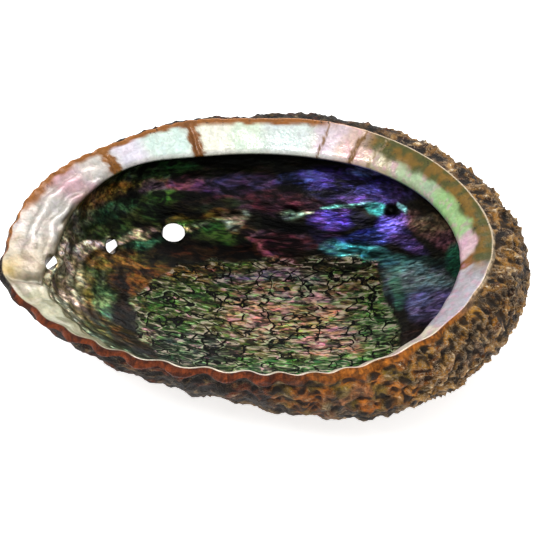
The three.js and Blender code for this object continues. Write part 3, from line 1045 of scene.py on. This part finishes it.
    def build(self) -> bpy.types.Object:
        """Models the shell, marks it and gives it its finishes.

        Returns:
            The finished piece, standing where the frame's shell stands.
        """
        mesh = self.starting_cube()
        base = self.read_cube(mesh)
        normals = self.move(mesh, base)
        scar = self.scar_cover(base)
        terrace = self.terrace_field(base)
        outside = self.station < self.crest_station
        inside = self.station > self.nose_station
        fade_in = smoothstep(self.station, self.nose_station, 11.5)
        height = np.where(outside, self.outer_relief(base), self.ledge_relief(base))
        height = np.where(inside, self.bowl_relief(base, scar, terrace) * fade_in, height)
        places = base + normals * height[:, None]
        places[:, 2] += self.rim_relief()
        places[:, :2] += self.rim_scallops()
        self.move(mesh, self.settle(places))
        shift = self.frame_shift()
        self.carry_marks(mesh, base, scar, terrace)
        for hole in self.holes:
            faces = hole.cut(mesh, shift)
            LOG.info("breathing hole at %s, wall of %d faces", hole.at, faces)
        return self.finish_piece(mesh)

    def settle(self, places: np.ndarray) -> np.ndarray:
        """Sets the form in the frame's box and trims what stands past any of the box's sides.

        The trim wears the underside flat, and takes the tops off the outermost knobs and scallops.

        Args:
            places: Places in millimetres from the rim's crest.

        Returns:
            Places in metres in the row frame.
        """
        low, high = (np.array(corner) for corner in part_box(NODE))
        moved = places * MM + np.array(self.frame_shift())
        return np.minimum(np.maximum(moved, low), high)

    def frame_shift(self) -> Vector:
        """Gives the row frame's offset from the form's own frame, in metres."""
        low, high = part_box(NODE)
        middle = (low + high) / 2
        form_x, form_y = self.form_middle()
        lift = self.form.bottom[2] + self.form.worn_depth
        return Vector((middle.x - form_x * MM, middle.y - form_y * MM, low.z - lift * MM))

    def form_middle(self) -> tuple[float, float]:
        """Gives the middle of the plain form's plan, in millimetres."""
        azimuth = np.linspace(0, math.tau, 720, endpoint=False)
        band = self.form.band(azimuth)[:5]
        rings = np.concatenate([self.form.band_place(azimuth, ring[:, 0], ring[:, 1]) for ring in band])
        middle = (rings.min(axis=0) + rings.max(axis=0)) / 2
        return float(middle[0]), float(middle[1])

    def carry_marks(
        self, mesh: bmesh.types.BMesh, base: np.ndarray, scar: np.ndarray, terrace: np.ndarray
    ) -> None:
        """Writes the marks that the finishes read onto the mesh's corners and its faces.

        Args:
            mesh: The shell's mesh, uncut.
            base: The base form's place of every corner, in millimetres.
            scar: Where the muscle scar lies.
            terrace: The field whose steps are the scar's layers.
        """
        bowl = self.bowl_tint(base, scar)
        ledge, dull = self.ledge_tint(base)
        outer = self.outer_tint(base)
        lip = self.lip_cover(base)
        station = self.station[:, None]
        rim = np.where(station > self.crest_station, ledge, blend(outer, self.lip_tint(base), lip))
        tint = np.where(station > self.nose_station, bowl, rim)
        calm = smoothstep(base[:, 0], 36, 50) + 0.5 * smoothstep(-base[:, 0], 44, 62)
        calm = calm + 0.8 * self.left_pearl(base) + 0.5 * self.near_wall(base)
        floats = {
            Mark.LIP: lip,
            Mark.SCAR: scar,
            Mark.TERRACE: terrace,
            Mark.SHEEN: np.where(self.station > self.nose_station, calm, 1 - dull),
            Mark.WEAR: self.crust_cover(base),
            Mark.KNOBS: np.where(self.station < self.crest_station, self.knobs(base), 0.0),
        }
        layers = {mark: mesh.verts.layers.float.new(mark.value) for mark in floats}
        tint_layer = mesh.verts.layers.float_color.new(Mark.TINT.value)
        compass_layer = mesh.verts.layers.float_vector.new(Mark.COMPASS.value)
        lists = {mark: values.tolist() for mark, values in floats.items()}
        colours = np.concatenate([tint, np.ones((len(tint), 1))], axis=1).tolist()
        for i, vert in enumerate(mesh.verts):
            for mark, layer in layers.items():
                vert[layer] = lists[mark][i]
            vert[tint_layer] = colours[i]
            turn = float(self.azimuth[i])
            vert[compass_layer] = (math.cos(turn), math.sin(turn), 0.0)
        station_list = self.station.tolist()
        mesh.verts.index_update()
        for face in mesh.faces:
            middle = sum(station_list[vert.index] for vert in face.verts) / len(face.verts)
            skin = Skin.OUTSIDE if middle < self.crest_station else Skin.LEDGE
            face.material_index = Skin.BOWL if middle > self.nose_station + 0.4 else skin

    def finish_piece(self, mesh: bmesh.types.BMesh) -> bpy.types.Object:
        """Makes the shell's object from its mesh and dresses it."""
        for face in mesh.faces:
            face.smooth = True
        bmesh.ops.recalc_face_normals(mesh, faces=mesh.faces[:])
        data = bpy.data.meshes.new("abalone_shell")
        mesh.to_mesh(data)
        mesh.free()
        piece = bpy.data.objects.new("abalone_shell", data)
        bpy.context.scene.collection.objects.link(piece)
        for finish in (OuterCrust(), LedgePearl(), BowlNacre()):
            data.materials.append(finish.make())
        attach(piece, BODY)
        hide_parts(NODE)
        return piece


# ---------------------------------------------------------------------------------------------
# Finishes
# ---------------------------------------------------------------------------------------------

Socket = bpy.types.NodeSocket
Feed = Socket | float | Sequence[float]


class Board:
    """Lays shader nodes on one tree. Each method gives back the socket to join next."""

    def __init__(self, tree: bpy.types.NodeTree) -> None:
        """Starts on a tree."""
        self.tree = tree

    def join(self, socket: Socket, feed: Feed) -> None:
        """Feeds a socket from another socket, or sets its value."""
        if isinstance(feed, bpy.types.NodeSocket):
            self.tree.links.new(feed, socket)
        elif socket.type == "RGBA" and len(feed) == 3:
            socket.default_value = (*feed, 1.0)
        else:
            socket.default_value = feed

    def node(self, kind: str, **settings: object) -> bpy.types.Node:
        """Adds a node and sets its properties."""
        made = self.tree.nodes.new(kind)
        for name, value in settings.items():
            setattr(made, name, value)
        return made

    def mark(self, mark: Mark) -> Socket:
        """Reads a number that the mesh carries."""
        return self.node("ShaderNodeAttribute", attribute_name=mark.value).outputs["Fac"]

    def mark_colour(self, mark: Mark) -> Socket:
        """Reads a colour that the mesh carries."""
        return self.node("ShaderNodeAttribute", attribute_name=mark.value).outputs["Color"]

    def mark_vector(self, mark: Mark) -> Socket:
        """Reads a vector that the mesh carries."""
        return self.node("ShaderNodeAttribute", attribute_name=mark.value).outputs["Vector"]

    def place(self) -> Socket:
        """Reads the place on the object."""
        return self.node("ShaderNodeTexCoord").outputs["Object"]

    def stretch(self, vector: Socket, scale: Sequence[float], turn: Sequence[float] = (0, 0, 0)) -> Socket:
        """Scales and turns a pattern's coordinates."""
        made = self.node("ShaderNodeMapping")
        self.join(made.inputs["Vector"], vector)
        self.join(made.inputs["Scale"], scale)
        self.join(made.inputs["Rotation"], turn)
        return made.outputs["Vector"]

    def noise(self, vector: Socket, size: float, detail: float = 2.0, distortion: float = 0.0) -> Socket:
        """Adds noise whose lumps are about a size in millimetres."""
        made = self.node("ShaderNodeTexNoise")
        self.join(made.inputs["Vector"], vector)
        made.inputs["Scale"].default_value = 1 / (size * MM)
        made.inputs["Detail"].default_value = detail
        made.inputs["Distortion"].default_value = distortion
        return made.outputs["Fac"]

    def cells(self, vector: Socket, size: float) -> Socket:
        """Gives the distance to the edge in a cell pattern of about a size in millimetres."""
        made = self.node("ShaderNodeTexVoronoi", feature="DISTANCE_TO_EDGE")
        self.join(made.inputs["Vector"], vector)
        made.inputs["Scale"].default_value = 1 / (size * MM)
        return made.outputs["Distance"]

    def ramp(self, value: Feed, stops: Sequence[tuple[float, Colour]]) -> Socket:
        """Turns a value into a colour by stops."""
        made = self.node("ShaderNodeValToRGB")
        self.join(made.inputs["Fac"], value)
        elements = made.color_ramp.elements
        while len(elements) < len(stops):
            elements.new(1.0)
        for element, (position, colour) in zip(elements, stops):
            element.position = position
            element.color = (*colour, 1.0)
        return made.outputs["Color"]

    def band(self, value: Feed, low: float, high: float, start: float = 0.0, end: float = 1.0) -> Socket:
        """Carries a value from one span to another and keeps it inside."""
        made = self.node("ShaderNodeMapRange", interpolation_type="SMOOTHSTEP")
        names = ("Value", "From Min", "From Max", "To Min", "To Max")
        for name, feed in zip(names, (value, low, high, start, end)):
            self.join(made.inputs[name], feed)
        return made.outputs["Result"]

    def sum(self, operation: str, first: Feed, second: Feed = 0.0, third: Feed = 0.0) -> Socket:
        """Works out one arithmetic step."""
        made = self.node("ShaderNodeMath", operation=operation)
        for socket, feed in zip(made.inputs, (first, second, third)):
            self.join(socket, feed)
        return made.outputs["Value"]

    def mix(self, factor: Feed, first: Feed, second: Feed, blend: str = "MIX") -> Socket:
        """Mixes two colours."""
        made = self.node("ShaderNodeMix", data_type="RGBA", blend_type=blend)
        self.join(made.inputs["Factor"], factor)
        first_colour, second_colour = (socket for socket in made.inputs if socket.type == "RGBA")
        self.join(first_colour, first)
        self.join(second_colour, second)
        return next(socket for socket in made.outputs if socket.type == "RGBA")

    def times(self, first: Feed, second: Feed) -> Socket:
        """Multiplies two values."""
        return self.sum("MULTIPLY", first, second)

    def tone(self, colour: Feed, by: Feed) -> Socket:
        """Multiplies a colour by a colour or a value."""
        return self.mix(1.0, colour, by, "MULTIPLY")

    def node_value(self, colour: Socket) -> Socket:
        """Reads the first part of a colour as a value."""
        made = self.node("ShaderNodeSeparateColor")
        self.join(made.inputs["Color"], colour)
        return made.outputs["Red"]

    def bump(self, height: Socket, depth: float, strength: float = 1.0) -> Socket:
        """Turns a height into a normal, with its depth in millimetres."""
        made = self.node("ShaderNodeBump")
        made.inputs["Strength"].default_value = strength
        made.inputs["Distance"].default_value = depth * MM
        self.join(made.inputs["Height"], height)
        return made.outputs["Normal"]

    def group(self, tree: bpy.types.NodeTree, **feeds: Feed) -> bpy.types.Node:
        """Places a shared effect with its own values."""
        made = self.node("ShaderNodeGroup", node_tree=tree)
        for name, feed in feeds.items():
            self.join(made.inputs[name], feed)
        return made


def shared_effect(name: str, inputs: dict[str, str]) -> tuple[Board, Sequence, Sequence]:
    """Starts a shader group that more than one finish uses and that gives out one colour.

    Args:
        name: The group's name.
        inputs: Socket kind by input name.

    Returns:
        The group's board, its input sockets and its output sockets.
    """
    tree = bpy.data.node_groups.new(name, "ShaderNodeTree")
    for label, kind in inputs.items():
        tree.interface.new_socket(name=label, in_out="INPUT", socket_type=kind)
    tree.interface.new_socket(name="Colour", in_out="OUTPUT", socket_type="NodeSocketColor")
    board = Board(tree)
    return board, board.node("NodeGroupInput").outputs, board.node("NodeGroupOutput").inputs


def play_of_colour() -> bpy.types.NodeTree:
    """Builds the shared nacre effect: bands of rainbow colour that follow a slow noise.

    Returns:
        A group that takes a place, a tint and an amount, and gives a colour.
    """
    known = bpy.data.node_groups.get("play_of_colour")
    if known:
        return known
    kinds = {"Place": "NodeSocketVector", "Tint": "NodeSocketColor", "Amount": "NodeSocketFloat"}
    board, given, out = shared_effect("play_of_colour", kinds)
    drift = board.noise(given["Place"], 11, 3, 0.6)
    fine = board.noise(given["Place"], 2.6, 4, 0.8)
    phase = board.sum("ADD", board.times(drift, 2.3), board.times(fine, 1.5))
    turn = board.sum("FRACT", phase)
    rainbow = board.ramp(
        turn,
        (
            (0.0, paint("3f8f5c")), (0.16, paint("4cc9b0")), (0.3, paint("5a7ad8")),
            (0.44, paint("8a5ac8")), (0.58, paint("d070a8")), (0.72, paint("e0a070")),
            (0.86, paint("a8b04c")), (1.0, paint("3f8f5c")),
        ),
    )
    rich = board.mix(0.75, given["Tint"], board.tone(given["Tint"], rainbow))
    lively = board.mix(given["Amount"], given["Tint"], board.tone(rich, (1.7, 1.7, 1.7)))
    board.join(out["Colour"], lively)
    return board.tree


def grime() -> bpy.types.NodeTree:
    """Builds the shared dirt effect: dark specks and stains gathered by two noises.

    Returns:
        A group that takes a place, a colour and an amount, and gives a colour.
    """
    known = bpy.data.node_groups.get("grime")
    if known:
        return known
    kinds = {"Place": "NodeSocketVector", "Colour": "NodeSocketColor", "Amount": "NodeSocketFloat"}
    board, given, out = shared_effect("grime", kinds)
    specks = board.band(board.noise(given["Place"], 0.9, 4), 0.56, 0.68)
    clouds = board.band(board.noise(given["Place"], 6, 3), 0.4, 0.65)
    mask = board.times(board.times(specks, clouds), given["Amount"])
    board.join(out["Colour"], board.mix(mask, given["Colour"], paint("1a1008")))
    return board.tree


@dataclass(frozen=True)
class Finish:
    """A finish with its name and the fixed values of its surface."""

    name: str = "finish"
    roughness: float = 0.4
    metallic: float = 0.0
    specular: float = 0.5
    coat: float = 0.0
    coat_roughness: float = 0.1

    def make(self) -> bpy.types.Material:
        """Makes the material."""
        material = bpy.data.materials.new(self.name)
        material.use_nodes = True
        material.node_tree.nodes.clear()
        board = Board(material.node_tree)
        surface = board.node("ShaderNodeBsdfPrincipled")
        surface.inputs["Roughness"].default_value = self.roughness
        surface.inputs["Metallic"].default_value = self.metallic
        surface.inputs["Specular IOR Level"].default_value = self.specular
        surface.inputs["Coat Weight"].default_value = self.coat
        surface.inputs["Coat Roughness"].default_value = self.coat_roughness
        output = board.node("ShaderNodeOutputMaterial")
        board.join(output.inputs["Surface"], surface.outputs["BSDF"])
        self.dress(board, surface)
        return material

    def dress(self, board: Board, surface: bpy.types.Node) -> None:
        """Feeds the surface with the finish's own pattern."""
        raise NotImplementedError


@dataclass(frozen=True)
class BowlNacre(Finish):
    """Dark, richly coloured nacre with a flaked and cracked muscle scar."""

    name: str = "bowl_nacre"
    roughness: float = 0.32
    metallic: float = 0.85

    def dress(self, board: Board, surface: bpy.types.Node) -> None:
        """Lays the play of colour, the painted shade along the folds, and the scar's layers and cracks."""
        place = board.place()
        tint = board.mark_colour(Mark.TINT)
        scar = board.mark(Mark.SCAR)
        calm = board.mark(Mark.SHEEN)
        flow = board.stretch(place, (0.42, 1.0, 1.0))
        amount = board.band(calm, 0, 1, 0.6, 0.35)
        nacre = board.group(play_of_colour(), Place=flow, Tint=tint, Amount=amount)
        # Painted shade: a slow noise darkens the nacre in streaks along the folds, less where the sheen
        # mark is high.
        folds = board.noise(flow, 4.6, 8, 1.0)
        floor = board.band(calm, 0, 1, 0.08, 0.75)
        shade = board.sum("ADD", board.band(folds, 0.4, 0.62, 0, 1.35), floor)
        dark = board.mix(1.0, nacre.outputs["Colour"], shade, "MULTIPLY")
        threads = board.noise(board.stretch(place, (0.2, 1, 1), (0, 0, 0.12)), 1.1, 4, 0.4)
        threads = board.band(threads, 0.36, 0.64, 0.45, 1.6)
        smooth_side = board.tone(dark, threads)
        colour, crack = self.scar_layers(board, place, tint)
        board.join(surface.inputs["Base Color"], board.mix(scar, smooth_side, colour))
        rough = board.band(scar, 0, 1, self.roughness, 0.5)
        board.join(surface.inputs["Roughness"], rough)
        fine = board.noise(flow, 1.6, 6)
        flat = board.times(crack, scar)
        height = board.sum("SUBTRACT", board.times(fine, 0.8), flat)
        board.join(surface.inputs["Normal"], board.bump(height, 0.6, 0.9))

    def scar_layers(self, board: Board, place: Socket, tint: Socket) -> tuple[Socket, Socket]:
        """Colours the scar's flakes and draws the cracks between them, with painted highlights on the
        flakes and beside the cracks and painted shade between the flakes.

        Args:
            board: The material's board.
            place: The place on the object.
            tint: The colour that the mesh carries.

        Returns:
            The scar's colour and the mask of its cracks.
        """
        wander = board.times(board.sum("SUBTRACT", board.noise(place, 1.8, 3), 0.5), 0.22)
        steps = board.times(board.sum("ADD", board.mark(Mark.TERRACE), wander), TERRACE_STEPS)
        step = board.sum("SUBTRACT", board.sum("FRACT", steps), 0.5)
        crack = board.band(board.sum("ABSOLUTE", step), 0.03, 0.065, 1, 0)
        # Painted highlight: a pale line on one side of each crack, as if its edge caught the light.
        lit_crack_edge = board.times(board.band(step, 0.06, 0.1), board.band(step, 0.12, 0.2, 1, 0))
        ripple = board.noise(place, 3.0, 3)
        bent = board.node("ShaderNodeVectorMath", operation="MULTIPLY_ADD")
        board.join(bent.inputs[0], self.even(board, ripple))
        bent.inputs[1].default_value = (0.0022, 0.0022, 0.0022)
        board.join(bent.inputs[2], board.stretch(place, (0.5, 1.0, 1.0)))
        plates = board.cells(bent.outputs["Vector"], 4.0)
        seam = board.band(plates, 0.015, 0.055, 1, 0)
        seam = board.times(seam, board.band(board.noise(place, 6, 2), 0.42, 0.55))
        crack = board.sum("MAXIMUM", crack, seam)
        layers = board.stretch(place, (0.36, 1.0, 1.0))
        flakes = board.noise(layers, 2.0, 8, 1.1)
        # Painted highlight and shade: pale flake tops are lifted towards cream, the gaps between flakes
        # darkened to near black.
        pale = board.band(flakes, 0.53, 0.62)
        deep = board.band(flakes, 0.4, 0.5, 1, 0)
        play = board.group(play_of_colour(), Place=layers, Tint=tint, Amount=1.0)
        flake = board.node("ShaderNodeTexVoronoi", feature="F1")
        board.join(flake.inputs["Vector"], bent.outputs["Vector"])
        flake.inputs["Scale"].default_value = 1 / (1.8 * MM)
        chips = board.ramp(
            board.node_value(flake.outputs["Color"]),
            (
                (0.0, paint("2c4020")), (0.3, paint("86a060")), (0.5, paint("b8949a")),
                (0.7, paint("d8c09a")), (0.85, paint("a878a0")), (1.0, paint("5c7438")),
            ),
        )
        body = board.mix(0.65, play.outputs["Colour"], board.mix(1.0, tint, chips, "OVERLAY"))
        hairs = board.noise(board.stretch(place, (0.3, 1, 1)), 0.8, 3, 0.5)
        hairs = board.band(hairs, 0.34, 0.66, 0.45, 1.6)
        body = board.tone(body, hairs)
        body = board.tone(body, (1.62, 1.62, 1.42))
        # Painted shade between the flakes, then painted highlight on them.
        colour = board.mix(board.times(deep, 0.85), body, paint("0d0f08"))
        colour = board.mix(board.times(pale, 0.6), colour, board.mix(0.6, tint, paint("f0dcc4")))
        leaf = board.noise(board.stretch(place, (0.45, 1, 1), (0, 0, 0.2)), 2.3, 3, 0.5)
        leaf = board.band(leaf, 0.56, 0.66, 0, 0.6)
        colour = board.mix(leaf, colour, board.tone(colour, (0.7, 1.9, 0.75)))
        rose = board.noise(board.stretch(place, (0.4, 1, 1), (0, 0, -0.15)), 2.9, 3, 0.5)
        rose = board.band(rose, 0.56, 0.66, 0, 0.6)
        colour = board.mix(rose, colour, board.tone(colour, (1.7, 0.8, 1.5)))
        patchy = board.band(board.noise(place, 4.0, 3), 0.48, 0.6, 0, 0.6)
        # Painted highlight beside the cracks.
        colour = board.mix(board.times(lit_crack_edge, patchy), colour, board.mix(0.6, tint, paint("d0e4b0")))
        return board.mix(crack, colour, paint("040403")), crack

    @staticmethod
    def even(board: Board, value: Socket) -> Socket:
        """Turns a value of about 0.5 into one of about 0, the same along all three axes."""
        made = board.node("ShaderNodeCombineXYZ")
        centred = board.sum("SUBTRACT", value, 0.5)
        for socket in made.inputs:
            board.join(socket, centred)
        return made.outputs["Vector"]


@dataclass(frozen=True)
class LedgePearl(Finish):
    """Pale pearl of the ledge, with pastel clouds and ochre stains."""

    name: str = "ledge_pearl"
    roughness: float = 0.3
    metallic: float = 0.25
    coat: float = 0.25

    def dress(self, board: Board, surface: bpy.types.Node) -> None:
        """Lays the pastel clouds, fine lines along the rim and small pits."""
        place = board.place()
        tint = board.mark_colour(Mark.TINT)
        sheen = board.mark(Mark.SHEEN)
        pastel = board.group(play_of_colour(), Place=place, Tint=(0.95, 0.95, 0.95), Amount=0.3)
        amount = board.times(sheen, 0.35)
        colour = board.mix(amount, tint, board.mix(1.0, tint, pastel.outputs["Colour"], "SOFT_LIGHT"))
        streaks = board.band(board.noise(place, 2.2, 4, 1.0), 0.3, 0.7, 0.86, 1.16)
        colour = board.tone(colour, streaks)
        dirty = board.group(grime(), Place=place, Colour=colour, Amount=board.band(sheen, 0, 1, 0.9, 0.15))
        board.join(surface.inputs["Base Color"], dirty.outputs["Colour"])
        board.join(surface.inputs["Roughness"], board.band(sheen, 0, 1, 0.42, self.roughness))
        fine = board.noise(place, 1.1, 4)
        board.join(surface.inputs["Normal"], board.bump(fine, 0.25, 0.7))


@dataclass(frozen=True)
class OuterCrust(Finish):
    """Rough outside: horn lip with fine lines across it, dark skin and pale crust."""

    name: str = "outer_crust"
    roughness: float = 0.62
    specular: float = 0.2

    def dress(self, board: Board, surface: bpy.types.Node) -> None:
        """Lays the horn lip's lines, the crust's winding pale ridges, the painted shade in the low places
        between them and specks of dirt.
        """
        place = board.place()
        tint = board.mark_colour(Mark.TINT)
        lip = board.mark(Mark.LIP)
        crust = board.mark(Mark.WEAR)
        lines = board.noise(board.mark_vector(Mark.COMPASS), 1000 / 85, 3)
        lines = board.band(lines, 0.36, 0.64, 0.8, 1.2)
        horn = board.tone(tint, lines)
        stains = board.band(board.noise(place, 3.2, 4, 0.6), 0.36, 0.62, 0.4, 1.3)
        horn = board.tone(horn, stains)
        layered = board.stretch(place, (0.75, 0.75, 1.6))
        ridges = board.sum("ABSOLUTE", board.sum("SUBTRACT", board.noise(layered, 1.9, 3, 1.4), 0.5))
        worm = board.band(ridges, 0.01, 0.06, 1, 0)
        clouds = board.band(board.noise(place, 3.5, 4), 0.35, 0.65, 0.35, 1.5)
        skin = board.tone(tint, clouds)
        pale = board.times(worm, board.band(crust, 0, 1, 0.12, 0.6))
        skin = board.mix(pale, skin, paint("b9a284"))
        knobs = board.mark(Mark.KNOBS)
        tops = board.times(board.band(knobs, 0.25, 1.1), board.band(crust, 0, 1, 0.15, 0.85))
        skin = board.mix(tops, skin, paint("d0a262"))
        frost = board.times(board.band(board.noise(layered, 1.2, 5), 0.52, 0.6), tops)
        skin = board.mix(frost, skin, paint("f0e2c6"))
        # Painted shade: the skin darkens to near black between the winding ridges and in the low places
        # between the knobs.
        low = board.band(knobs, -0.75, -0.05, 0.92, 0)
        hollow = board.sum("MAXIMUM", board.band(ridges, 0.1, 0.2, 0, 0.7), low)
        skin = board.mix(hollow, skin, paint("0d0704"))
        dirty = board.group(grime(), Place=place, Colour=skin, Amount=0.6)
        board.join(surface.inputs["Base Color"], board.mix(lip, dirty.outputs["Colour"], horn))
        board.join(surface.inputs["Roughness"], board.band(lip, 0, 1, self.roughness, 0.52))
        height = board.sum("ADD", worm, board.noise(place, 0.8, 3))
        board.join(surface.inputs["Normal"], board.bump(height, 0.5, 0.8))


# ---------------------------------------------------------------------------------------------
# Studio
# ---------------------------------------------------------------------------------------------


@dataclass(frozen=True)
class Softbox:
    """A square area light aimed at the shell."""

    name: str
    azimuth: float
    elevation: float
    distance: float
    size: float
    power: float

    def hang(self, target: Vector) -> bpy.types.Object:
        """Hangs the light so that it faces the target."""
        lamp = bpy.data.lights.new(self.name, "AREA")
        lamp.size = self.size
        lamp.energy = self.power
        light = bpy.data.objects.new(self.name, lamp)
        bpy.context.scene.collection.objects.link(light)
        a, e = math.radians(self.azimuth), math.radians(self.elevation)
        back = Vector((math.sin(a) * math.cos(e), -math.cos(a) * math.cos(e), math.sin(e)))
        light.location = target + back * self.distance
        light.rotation_euler = back.to_track_quat("Z", "Y").to_euler()
        return light


@dataclass(frozen=True)
class Studio:
    """Pale floor, soft light and the camera."""

    elevation: float = 43.0
    distance: float = 0.8
    lens: float = 151.0
    sensor: float = 36.0
    aim: tuple[float, float, float] = (0.0, 0.0, -18.0)
    floor_reach: float = 6.0
    sky: float = 0.55
    floor_glow: float = 0.7
    lights: tuple[Softbox, ...] = (
        Softbox("key", -40, 58, 0.9, 0.35, 5.0),
        Softbox("back", 165, 32, 0.9, 0.6, 4.0),
        Softbox("fill", 50, 50, 1.1, 0.8, 1.5),
    )

    def build(self, shift: Vector) -> None:
        """Sets up the floor, the lights and the camera.

        Args:
            shift: The row frame's offset from the form's own frame, in metres.
        """
        target = Vector(self.aim) * MM + shift
        self.lay_floor()
        self.light_sky()
        for light in self.lights:
            light.hang(target)
        self.set_camera(target)

    def lay_floor(self) -> None:
        """Lays a wide pale floor that glows a little, as a light table does."""
        mesh = bmesh.new()
        bmesh.ops.create_grid(mesh, x_segments=8, y_segments=8, size=self.floor_reach)
        data = bpy.data.meshes.new("floor")
        mesh.to_mesh(data)
        mesh.free()
        floor = bpy.data.objects.new("floor", data)
        bpy.context.scene.collection.objects.link(floor)
        material = bpy.data.materials.new("pale_floor")
        material.use_nodes = True
        surface = material.node_tree.nodes["Principled BSDF"]
        surface.inputs["Base Color"].default_value = (0.9, 0.9, 0.9, 1)
        surface.inputs["Roughness"].default_value = 0.9
        surface.inputs["Emission Color"].default_value = (1, 1, 1, 1)
        surface.inputs["Emission Strength"].default_value = self.floor_glow
        data.materials.append(material)

    def light_sky(self) -> None:
        """Surrounds the scene with even white light."""
        world = bpy.data.worlds.new("studio")
        world.use_nodes = True
        backdrop = world.node_tree.nodes["Background"]
        backdrop.inputs["Color"].default_value = (1, 1, 1, 1)
        backdrop.inputs["Strength"].default_value = self.sky
        bpy.context.scene.world = world
        bpy.context.scene.view_settings.view_transform = "Standard"

    def set_camera(self, target: Vector) -> None:
        """Places the camera above the front of the shell."""
        lens = bpy.data.cameras.new("camera")
        lens.lens = self.lens
        lens.sensor_width = self.sensor
        camera = bpy.data.objects.new("camera", lens)
        bpy.context.scene.collection.objects.link(camera)
        lift = math.radians(self.elevation)
        back = Vector((0, -math.cos(lift), math.sin(lift)))
        camera.location = target + back * self.distance
        camera.rotation_euler = back.to_track_quat("Z", "Y").to_euler()
        bpy.context.scene.camera = camera


def main() -> None:
    """Builds the shell and its studio, and reports each piece."""
    logging.basicConfig(level=logging.INFO, format="%(name)s %(message)s")
    shell = AbaloneShell()
    piece = shell.build()
    LOG.info("%s has %d faces", piece.name, len(piece.data.polygons))
    Studio().build(shell.frame_shift())


if __name__ == "__main__":
    main()
